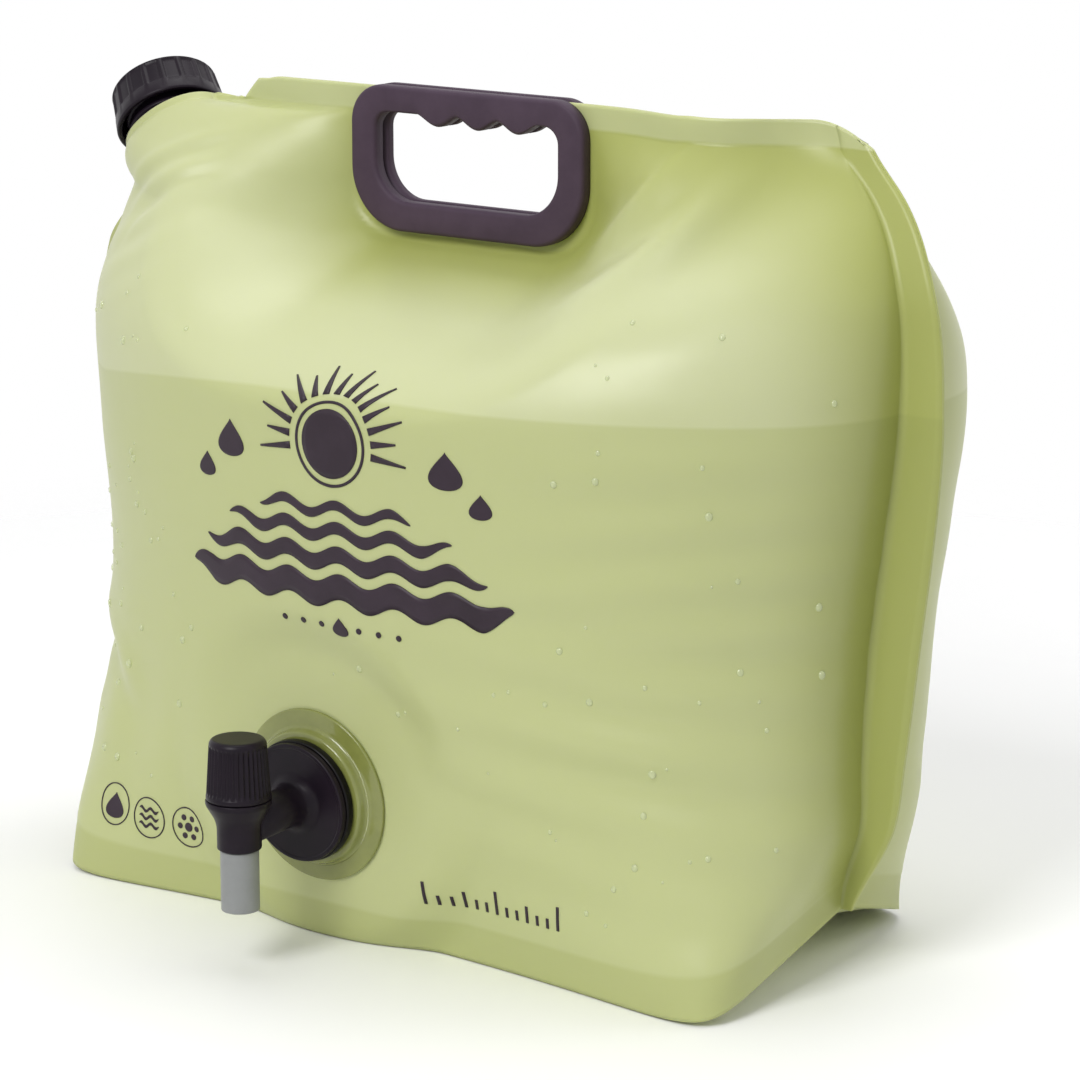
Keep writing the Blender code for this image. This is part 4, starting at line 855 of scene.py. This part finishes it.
def handle_half(name, side):
    """Handle half: a profile across the bar, from the film out, over its rounded edges and back,
    carried round between the outer edge and the hand opening."""
    count = 420
    outer, inner = handle_loops(count)
    best = min(range(count), key=lambda k: np.linalg.norm(outer - np.roll(inner, k, axis=0), axis=-1).sum())
    inner = np.roll(inner, best, axis=0)
    face, thick, bend = SEAM_Y + FIT_GAP, HANDLE_THICK, HANDLE_BEND
    a = np.linspace(0, math.pi / 2, 7)
    inset = np.concatenate(([0.0, 0.0], bend * (1 - np.sin(math.pi / 2 - a))))
    rise = np.concatenate(([0.0, thick * 0.4], thick - bend + bend * np.sin(a)))
    run = unit(inner - outer)
    rows = [(outer + run * i, y) for i, y in zip(inset, rise)]
    for c in np.linspace(0, 1, 9)[1:-1]:
        rows.append(((outer + run * bend) * (1 - c) + (inner - run * bend) * c,
                     thick + HANDLE_CROWN * math.sin(math.pi * c)))
    rows += [(inner - run * i, y) for i, y in zip(inset[::-1], rise[::-1])]
    points = np.array([stack(spot[:, 0], side * (face + y), spot[:, 1]) for spot, y in rows])
    faces = outward(points, grid_faces(len(rows), count, close_rows=True, close_columns=True))
    return new_mesh(name, points, faces.tolist(), HANDLE_PLUM)


for node, side in (("handle_front", -1), ("handle_back", 1)):
    half = handle_half(node + "_moulding", side)
    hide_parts(node)
    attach(half, "carrier")


# Neck and cap

def thread(pitch, depth, low, high, inward=1.0):
    """Relief of a screw thread: a rounded ridge whose height climbs one pitch a turn, faded at both ends."""
    def relief(angle, r, z):
        phase = (z / pitch - angle / (2 * math.pi)) % 1.0
        ridge = np.clip(1 - np.abs(phase - 0.5) / 0.22, 0, 1)
        ends = soft_step(low, low + pitch / 2, z) * (1 - soft_step(high - pitch / 2, high, z))
        return inward * depth * ridge * ridge * (3 - 2 * ridge) * ends
    return relief


def neck_pieces():
    """Neck: a threaded tube on a drawn-out round weld base whose section shrinks a little downwards."""
    place = neck_frame()
    top = CAP_LIFT + CAP_HEIGHT - CAP_ROOF - LINER - 2 * FIT_GAP
    outside = [(NECK_RADIUS, v) for v in np.linspace(CAP_LIFT + 0.0004, top - 0.0012, 60)]
    foot, collar = -BOAT_HEIGHT + 0.0006, NECK_RADIUS + 0.0011
    corners = [(NECK_BORE, foot), (NECK_RADIUS - 0.0008, foot), (NECK_RADIUS, -0.0004),
               (NECK_RADIUS, CAP_LIFT - 0.0024), (collar, CAP_LIFT - 0.0018, 0.0004),
               (collar, CAP_LIFT - 0.0006, 0.0004), (NECK_RADIUS, CAP_LIFT)] + outside + [
                   (NECK_RADIUS, top, 0.0006), (NECK_BORE, top, 0.0006)]
    relief = thread(THREAD_PITCH, 0.0011, CAP_LIFT + 0.001, top - 0.001)
    tube = turned("neck_tube", corners, PLUM, place, 128,
                  lambda a, r, h: np.where(r > NECK_BORE + 0.001, relief(a, r, h), 0.0), closed=True)
    angle = np.arange(96) * 2 * math.pi / 96
    length = np.where(np.cos(angle) > 0, MOUTH_REACH, MOUTH_RADIUS)
    rows = []
    for h, share, edge in ((-BOAT_HEIGHT, 0.86, 0.0), (-0.007, 0.93, 0.0), (-0.0032, 1.0, 0.0),
                           (-0.0006, 1.0, 0.0), (0.0, 1.0, 0.0006)):
        rows.append(stack((length * share - edge) * np.cos(angle),
                          (MOUTH_RADIUS * share - edge) * np.sin(angle), h))
    bore = NECK_BORE + 0.0003
    rows += [stack(bore * np.cos(angle), bore * np.sin(angle), h) for h in (0.0, -BOAT_HEIGHT)]
    points = moved(np.array(rows), place)
    faces = outward(points, grid_faces(len(rows), 96, close_rows=True, close_columns=True))
    return tube, new_mesh("neck_base", points, faces.tolist(), PLUM)


def cap_relief(angle, r, z):
    """Grip of the cap: narrow raised bars, each a flattened cosine, only on the wall's upper part."""
    outside = r > CAP_TOP_RADIUS - 0.0012
    bars = np.clip(np.cos(CAP_BARS * angle) * 3.0 - 1.6, 0, 1)
    low, top = CAP_LIFT + 0.0054, CAP_LIFT + CAP_HEIGHT
    grip = soft_step(low, low + 0.0006, z) * (1 - soft_step(top - 0.0016, top, z))
    return np.where(outside, BAR_HEIGHT * (bars - 1) * grip, 0.0)


def cap_piece():
    """Cap: ribbed wall above a plain band, rounded top edge, inside threads, open below."""
    base, top = CAP_LIFT, CAP_LIFT + CAP_HEIGHT
    slope = (CAP_RADIUS - CAP_TOP_RADIUS) / CAP_HEIGHT
    wall = [(CAP_RADIUS - slope * (v - base), v) for v in np.linspace(base + 0.0052, top - 0.0022, 14)]
    inside = [(CAP_RADIUS - CAP_WALL - 0.0006, v) for v in np.linspace(top - 0.0035, base + 0.0016, 44)]
    roof, dish = top - CAP_ROOF, top - 0.0003
    corners = [(0.0, roof), (CAP_TOP_RADIUS - CAP_WALL - 0.0007, roof, 0.0005)] + inside + [
        (CAP_RADIUS - CAP_WALL, base, 0.0005), (CAP_RADIUS - 0.0005, base, 0.0003),
        (CAP_RADIUS, base + 0.0006, 0.0004)] + wall + [
            (CAP_TOP_RADIUS, top, 0.0016), (CAP_TOP_RADIUS - 0.0030, top),
            (CAP_TOP_RADIUS - 0.0034, dish), (0.0, dish)]
    inner = thread(THREAD_PITCH, 0.0009, base + 0.0022, top - 0.0038, inward=-1.0)

    def relief(angle, r, z):
        threads = np.where(r > 0.016, inner(angle + math.pi, r, z), 0.0)
        return np.where(r < CAP_RADIUS - CAP_WALL * 0.7, threads, cap_relief(angle, r, z))
    return turned("cap_moulding", corners, PLUM, neck_frame(), 360, relief)


TUBE, NECK_BASE = neck_pieces()
for piece in (TUBE, NECK_BASE):
    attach(piece, "carrier")
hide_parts("neck_fitting")
CAP = cap_piece()
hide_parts("screw_cap")
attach(CAP, "cap")
LINER_LOW = CAP_LIFT + CAP_HEIGHT - CAP_ROOF - LINER - FIT_GAP
LINER_TOP = LINER_LOW + LINER
SEAL = turned("cap_seal_disc", [
    (0.0, LINER_LOW), (LINER_RADIUS, LINER_LOW, 0.0003), (LINER_RADIUS, LINER_TOP, 0.0003), (0.0, LINER_TOP)],
              LINER_WHITE, neck_frame())
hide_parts("cap_liner")
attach(SEAL, "cap_seal")


# Tap

def tap_pieces():
    """Tap: lathe-turned weld flange, washer, disc with its stub, upright barrel, tube and nut."""
    along, upright = tap_frame(), barrel_frame()

    def part(name, rows, material, place=along, segments=128, up=0.0, steps=6):
        return turned(name, mm(rows, up), material, place, segments, closed=True, steps=steps)

    low = FIT_GAP
    flange = part("weld_flange", (
        (11.1, -8.8, 0.4), (14.2, -8.8, 0.6), (14.2, 0, 0.3), (31.2, 0, 0.2), (31.2, 1.2, 0.6),
        (26.2, 1.8, 1), (24.8, 2.2, 1), (23.8, 5, 0.8), (22.6, 5.2, 0.4), (11.1, 5.2, 0.4)),
        WELD_GREEN, up=low)
    low += FIT_GAP + FLANGE_HEIGHT
    washer = part("tap_seal_ring", ((11.1, 0), (21.9, 0, 0.9), (21.9, 3.2, 0.9), (11.1, 3.2)), RUBBER, up=low)
    low = (low + FIT_GAP + WASHER_HEIGHT) * 1000
    high, end = low + 2.4, BARREL_REACH * 1000 - 3.5
    arm = part("tap_arm", (
        (4.2, -7.5, 0.3), (10.8, -7.5, 0.4), (10.8, low), (21.3, low, 0.4), (21.3, high, 0.7),
        (20, high, 0.2), (19.7, high - 0.3, 0.2), (10.8, high - 0.3, 1), (8, high + 1.6, 1.4),
        (7.2, high + 5, 1.6), (7.2, end), (4.2, end)), PLUM)
    barrel = part("tap_barrel", (
        (3, 34.1), (4.8, 34.1, 0.4), (4.8, 43.6), (7.7, 43.6, 0.6), (7.7, 53.2, 3), (11.5, 59.6, 0.8),
        (11.5, 61.2, 0.5), (5.5, 61.2, 0.3), (5.5, 45.1), (3, 45.1)), PLUM, upright, 96)
    spout = part("spout_tube", ((5.1, 21.8, 0.4), (6.7, 21.6, 0.5), (6.7, 43.3, 0.4), (5.1, 43.3, 0.2)),
                 GREY, upright, 72, steps=4)
    nut = part("stem_nut", (
        (2.9, 57), (5.2, 57, 0.3), (5.2, 61.5), (7.8, 61.5, 0.3), (7.8, 67.7, 0.6), (2.9, 67.7, 0.4)),
        PLUM, upright, 72, steps=4)
    return flange, washer, arm, barrel, spout, nut


def knob_relief(angle, r, z):
    """Knob grip: round-bottomed flutes between the foot band and the crowned top."""
    low, high = KNOB_LOW + 0.0022, KNOB_TOP - 0.0021
    grip = soft_step(low, low + 0.0007, z) * (1 - soft_step(high - 0.0006, high, z))
    groove = (0.5 - 0.5 * np.cos(KNOB_FLUTES * angle)) ** 0.7
    return np.where(r > 0.0094, -FLUTE_DEPTH * groove * grip, 0.0)


def knob_piece():
    """Knob: foot band, tapering fluted wall, crowned top; hollow below, with a boss round the stem."""
    low, top = KNOB_LOW, KNOB_TOP
    wall = [(0.0112 - 0.0014 * (v - low) / 0.0212, v) for v in np.linspace(low + 0.0018, top - 0.0021, 24)]
    corners = (mm(((0, -3.1), (2.9, -3.1), (2.9, -11.5), (5, -11.5, 0.4), (5, -3), (8.2, -3)), top)
               + mm(((9.6, 0, 0.3), (11.2, 0, 0.4), (11.3, 0.8, 0.3), (11.2, 1.6, 0.2)), low) + wall
               + mm(((9.8, -1.2, 0.6), (8.9, 0, 0.8), (7, 0), (0, 0)), top))
    return turned("knob_moulding", corners, PLUM, barrel_frame(), 432, knob_relief)


FLANGE, WASHER, ARM, BARREL, SPOUT, NUT = tap_pieces()
for piece, node, slot in ((FLANGE, "tap_insert", "green_plastic"), (WASHER, "tap_washer", "black_rubber"),
                          (ARM, "tap_body", "plum_plastic"), (SPOUT, "outlet_tube", "grey_tube"),
                          (NUT, "tap_bonnet", "plum_plastic")):
    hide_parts(node)
    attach(piece, "carrier")
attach(BARREL, "carrier")
KNOB = knob_piece()
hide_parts("tap_knob")
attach(KNOB, "knob")
for node, material in (("stem_ring", RUBBER), ("valve_plug", RUBBER), ("valve_stem", PLUM)):
    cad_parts[node].data.materials.clear()
    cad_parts[node].data.materials.append(material)


# Print on the film

PRINT_MIDDLE = (0.004, 0.165)
FOOT_ROW = 0.1180
DOT_RADIUS = 0.0011
WAVE_RISE = 0.0019
WAVE_PITCH = 0.023
BADGES = ((-0.1197, 0.0282), (-0.1015, 0.0266), (-0.0825, 0.0264))


def film_place(x, z, lift):
    """Points on the front film straight behind (x, z), lifted along its normals: level and turn
    start from the height and the width, and step along both slopes until they meet."""
    level = np.clip(z / SEAL_LEVEL, 0.01, 0.99)
    turn = np.arccos(np.clip(x / HALF_WIDTH, -0.99, 0.99))
    small = 1e-4
    for _ in range(8):
        here = panel_points(level, turn, -1)
        up = (panel_points(level + small, turn, -1) - here) / small
        run = (panel_points(level, turn + small, -1) - here) / small
        off_x, off_z = x - here[..., 0], z - here[..., 2]
        scale = up[..., 0] * run[..., 2] - up[..., 2] * run[..., 0]
        level = np.clip(level + (off_x * run[..., 2] - off_z * run[..., 0]) / scale, 0.001, 0.999)
        turn = np.clip(turn + (off_z * up[..., 0] - off_x * up[..., 2]) / scale, 0.001, math.pi - 0.001)
    points, normal = film_surface(level, turn, -1)
    return points + normal * lift


def disc_grid(count):
    """Square grid bent into a unit disc: each coordinate times the root of 1 minus half the square
    of the other."""
    u, v = np.linspace(-1, 1, count)[None, :], np.linspace(-1, 1, count)[:, None]
    return u * np.sqrt(1 - v**2 / 2), v * np.sqrt(1 - u**2 / 2)


def disc_shape(centre, radius, count=13):
    """Filled round."""
    x, z = disc_grid(count)
    return centre[0] + radius * x, centre[1] + radius * z


def ring_shape(centre, inner, outer):
    """Flat ring between two radii."""
    turn = np.linspace(0, 2 * math.pi, 97)[None, :]
    r = np.linspace(inner, outer, 3)[:, None]
    return centre[0] + r * np.cos(turn), centre[1] + r * np.sin(turn)


def drop_shape(centre, size):
    """Water drop: a pear curve, x = sin t times sin of half t to the power 1.5, filled by a bent grid."""
    x, z = disc_grid(17)
    r, t = np.hypot(x, z), np.arctan2(x, z) % (2 * math.pi)
    wide = 0.72 * size * r * np.sin(t) * np.sin(t / 2) ** 1.5
    return centre[0] + wide, centre[1] + size * r * np.cos(t) / 2


def wave_shape(centre, length, thickness, height, count, phase, taper=0.12):
    """Wavy stripe: a sine along it, its thickness falling off at both ends."""
    u = np.linspace(-0.5, 0.5, 220)[None, :]
    v = np.linspace(-0.5, 0.5, 5)[:, None]
    ends = np.clip((0.5 - np.abs(u)) / taper, 0, 1) ** 0.6
    x = centre[0] + u * length + 0 * v
    return x, centre[1] + height * np.sin(2 * math.pi * count * u + phase) + v * thickness * ends


def ray_shapes(centre, inner, outer, low, high, count, width):
    """Tapered rays round a centre, each a wedge between two radii."""
    shapes = []
    r = np.linspace(0, 1, 6)[None, :]
    v = np.linspace(-0.5, 0.5, 3)[:, None]
    for k in range(count):
        turn = low + (high - low) * k / (count - 1)
        reach = inner + (outer - inner) * r * (1.0 if k % 2 == 0 else 0.72)
        off = v * width * (1 - 0.75 * r)
        shapes.append((centre[0] + reach * math.cos(turn) - off * math.sin(turn),
                       centre[1] + reach * math.sin(turn) + off * math.cos(turn)))
    return shapes


def bar_shape(centre, width, height):
    """Upright bar."""
    u, v = np.linspace(-0.5, 0.5, 3)[None, :], np.linspace(-0.5, 0.5, 6)[:, None]
    return centre[0] + u * width + 0 * v, centre[1] + v * height + 0 * u


def print_shapes():
    """All printed motifs as (x, z) grids: a sun over water, three round marks and a row of ticks."""
    middle, sun = PRINT_MIDDLE[0], (PRINT_MIDDLE[0], 0.1830)
    shapes = [disc_shape(sun, 0.0120), ring_shape(sun, 0.0140, 0.0150)]
    shapes += ray_shapes(sun, 0.0178, 0.0320, math.radians(-8), math.radians(188), 15, 0.0026)
    for height, length, thick, taper in ((0.1600, 0.066, 0.0034, 0.12), (0.1520, 0.098, 0.0044, 0.12),
                                         (0.1425, 0.124, 0.0060, 0.12), (0.1310, 0.142, 0.0092, 0.08)):
        shapes.append(wave_shape((middle, height), length, thick, WAVE_RISE, length / WAVE_PITCH, 1.1, taper))
    for side in (-1, 1):
        shapes.append(drop_shape((middle + side * 0.047, 0.1790), 0.0130))
        shapes.append(drop_shape((middle + side * 0.060, 0.1680), 0.0085))
    shapes.append(drop_shape((middle, FOOT_ROW), 0.0070))
    for k in (-1, 1, -2, 2, -3, 3):
        shapes.append(disc_shape((middle + 0.0085 * k, FOOT_ROW), DOT_RADIUS, 7))
    for spot in BADGES:
        shapes.append(ring_shape(spot, 0.0073, 0.0077))
    (drop_x, drop_z), (wave_x, wave_z), (dots_x, dots_z) = BADGES
    shapes.append(drop_shape((drop_x, drop_z - 0.0004), 0.0092))
    for k in (-1, 0, 1):
        shapes.append(wave_shape((wave_x, wave_z + 0.0029 * k), 0.0096, 0.0011, 0.0007, 2, 0.4))
    for turn in np.arange(6) * math.pi / 3:
        spot = (dots_x + 0.0040 * math.cos(turn), dots_z + 0.0040 * math.sin(turn))
        shapes.append(disc_shape(spot, DOT_RADIUS, 7))
    shapes.append(disc_shape(BADGES[2], 0.0017, 7))
    for k in range(13):
        tall = 0.0086 if k % 6 == 0 else 0.0060 if k % 3 == 0 else 0.0036
        shapes.append(bar_shape((0.0300 + 0.0045 * k, 0.0208 + tall / 2), 0.0011, tall))
    return shapes


def film_map(centre, half_width, half_height):
    """Map from distances along the film to places on it, by the lengths of the level and the upright
    line through the centre."""
    place_x = centre[0] + np.linspace(-half_width, half_width, 161)
    place_z = centre[1] + np.linspace(-half_height, half_height, 161)
    level_line = film_place(place_x, np.full(161, centre[1]), 0.0)
    upright_line = film_place(np.full(161, centre[0]), place_z, 0.0)

    def lengths(line):
        run = np.concatenate(([0.0], np.cumsum(np.linalg.norm(np.diff(line, axis=0), axis=-1))))
        return run - run[80]

    along, up = lengths(level_line), lengths(upright_line)

    def onto(x, z):
        return np.interp(x - centre[0], along, place_x), np.interp(z - centre[1], up, place_z)
    return onto


def ink_print():
    """The print as one skin of ink: each motif's grid laid on the film, as a closed thin shell."""
    points, faces, start = [], [], 0
    onto = film_map(PRINT_MIDDLE, 0.110, 0.075)
    for x, z in print_shapes():
        x, z = (array.astype(float) for array in np.broadcast_arrays(x, z))
        if z.mean() > 0.08:
            x, z = onto(x, z)
        ring = np.allclose(x[:, 0], x[:, -1]) and np.allclose(z[:, 0], z[:, -1])
        if ring:
            x, z = x[:, :-1], z[:, :-1]
        some, quads = closed_shell(film_place(x, z, INK_TOP), film_place(x, z, INK_FOOT), ring)
        points.append(some.reshape(-1, 3))
        faces.append(quads + start)
        start += len(points[-1])
    return new_mesh("front_print", np.concatenate(points), np.concatenate(faces).tolist(), INK)


PRINT = ink_print()
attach(PRINT, "carrier")


# Drops that cling to the film

TAP_CLEAR = 0.045


def drops():
    """Small drops on the front of the bag: flattened domes, r = radius times the sine of a quarter
    turn, set on the film at seeded random places."""
    some = np.random.default_rng(11)
    count, sides = 150, 12
    x, z = some.uniform(-0.150, 0.165, count), some.uniform(0.020, 0.232, count)
    away = np.hypot(x - TAP_PLACE.x, z - TAP_PLACE.z) > TAP_CLEAR
    emblem = (np.abs(x - PRINT_MIDDLE[0]) < 0.078) & (np.abs(z - 0.166) < 0.060)
    marks = (z < 0.040) & ((x < -0.070) | (np.abs(x - 0.057) < 0.035))
    free = away & ~emblem & ~marks & (pinch(x, z) > 0.4)
    x, z = x[free], z[free]
    size = some.uniform(0.0005, 0.0015, len(x))
    base, up = film_place(x, z, 0.0), film_place(x, z, 0.001) - film_place(x, z, 0.0)
    up = unit(up)
    side = unit(np.cross(up, (0.0, 0.0, 1.0)))
    over = np.cross(side, up)
    turn = np.linspace(0, 2 * math.pi, sides, endpoint=False)
    shapes = [(1.0, -0.25), (1.0, 0.0), (0.86, 0.30), (0.5, 0.52)]
    rings = [base[:, None] + size[:, None, None] * (r * (np.cos(turn)[None, :, None] * side[:, None]
             + 1.15 * np.sin(turn)[None, :, None] * over[:, None]) + h * up[:, None]) for r, h in shapes]
    points = np.stack(rings, axis=1)
    first = np.arange(len(x)) * len(shapes) * sides
    quads = grid_faces(len(shapes), sides, close_columns=True)
    faces = (quads[None] + first[:, None, None]).reshape(-1, 4).tolist()
    for k in first.tolist():
        faces += [list(range(k, k + sides))[::-1], list(range(k + 3 * sides, k + 4 * sides))]
    return new_mesh("film_drops", points, faces, DROP)


DROPS = drops()
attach(DROPS, "carrier")


# Floor, light and camera

LAMPS = (("key_light", (0.15, -1.80, 1.60), 0.15, 1.0, 33.0),
         ("top_light", (-0.1, 0.35, 1.9), 0.1, 1.3, 14.0),
         ("back_light", (1.3, 1.4, 1.1), 0.15, 1.2, 9.0))
FILL = 0.40
FLOOR_HALF = 0.8
LENS_PIXELS = 3947.6
FRAME_PIXELS = 1080


def floor_piece():
    """Pale floor that keeps the shadow and fades out into the white surround."""
    finish = Finish("studio_floor", (0.92, 0.92, 0.93), Roughness=0.6)
    grain = finish.noise(14.0, 2.0)
    spot = finish.node("ShaderNodeSeparateXYZ", None, finish.place())
    radius = (spot.out("X") ** 2 + spot.out("Y") ** 2) ** 0.5
    finish.feed(Base_Color=finish.mix(grain, (0.95, 0.95, 0.955), (0.97, 0.97, 0.975)),
                Normal=finish.bump(grain, 0.0001, 0.1), Alpha=1 - radius.ramp(0.40, 0.75))
    corners = FLOOR_HALF * np.array(((-1, -1, 0), (1, -1, 0), (1, 1, 0), (-1, 1, 0))) - (0.0, 0.0, 0.0004)
    return new_mesh("floor", corners, [[0, 1, 2, 3]], finish.material)


def studio():
    """White surround that is full where it is seen and weaker where it lights, three large soft
    lights, and the camera from its three axes."""
    scene = bpy.context.scene
    scene.view_settings.view_transform = "Standard"
    scene.world = scene.world or bpy.data.worlds.new("surround")
    scene.world.use_nodes = True
    tree = scene.world.node_tree
    back = tree.nodes["Background"]
    back.inputs[0].default_value = (1.0, 1.0, 1.0, 1.0)
    rays = tree.nodes.new("ShaderNodeLightPath").outputs
    seen = rays["Is Camera Ray"]
    for ray in ("Is Glossy Ray", "Is Transmission Ray", None):
        step = tree.nodes.new("ShaderNodeMath")
        step.operation = "MAXIMUM" if ray else "MULTIPLY_ADD"
        tree.links.new(seen, step.inputs[0])
        if ray:
            tree.links.new(rays[ray], step.inputs[1])
        seen = step.outputs[0]
    step.inputs[1].default_value, step.inputs[2].default_value = 1 - FILL, FILL
    tree.links.new(seen, back.inputs[1])
    for name, place, aim_height, size, power in LAMPS:
        lamp = bpy.data.lights.new(name, "AREA")
        lamp.shape, lamp.size, lamp.energy = "SQUARE", size, power
        holder = bpy.data.objects.new(name, lamp)
        scene.collection.objects.link(holder)
        holder.location = place
        toward = Vector((0.0, 0.0, aim_height)) - Vector(place)
        holder.rotation_euler = toward.to_track_quat("-Z", "Y").to_euler()
    lens = bpy.data.cameras.new("view")
    lens.sensor_width = 36.0
    lens.lens = lens.sensor_width * LENS_PIXELS / FRAME_PIXELS
    lens.clip_start, lens.clip_end = 0.05, 50.0
    holder = bpy.data.objects.new("view", lens)
    scene.collection.objects.link(holder)
    ahead, across = Vector((-0.58220, 0.77993, -0.22968)), Vector((0.80135, 0.59819, 0.0))
    turn = Matrix((across, across.cross(ahead), -ahead)).transposed().to_4x4()
    turn.translation = (0.83960, -1.09351, 0.45700)
    holder.matrix_world = turn
    scene.camera = holder


floor_piece()
studio()
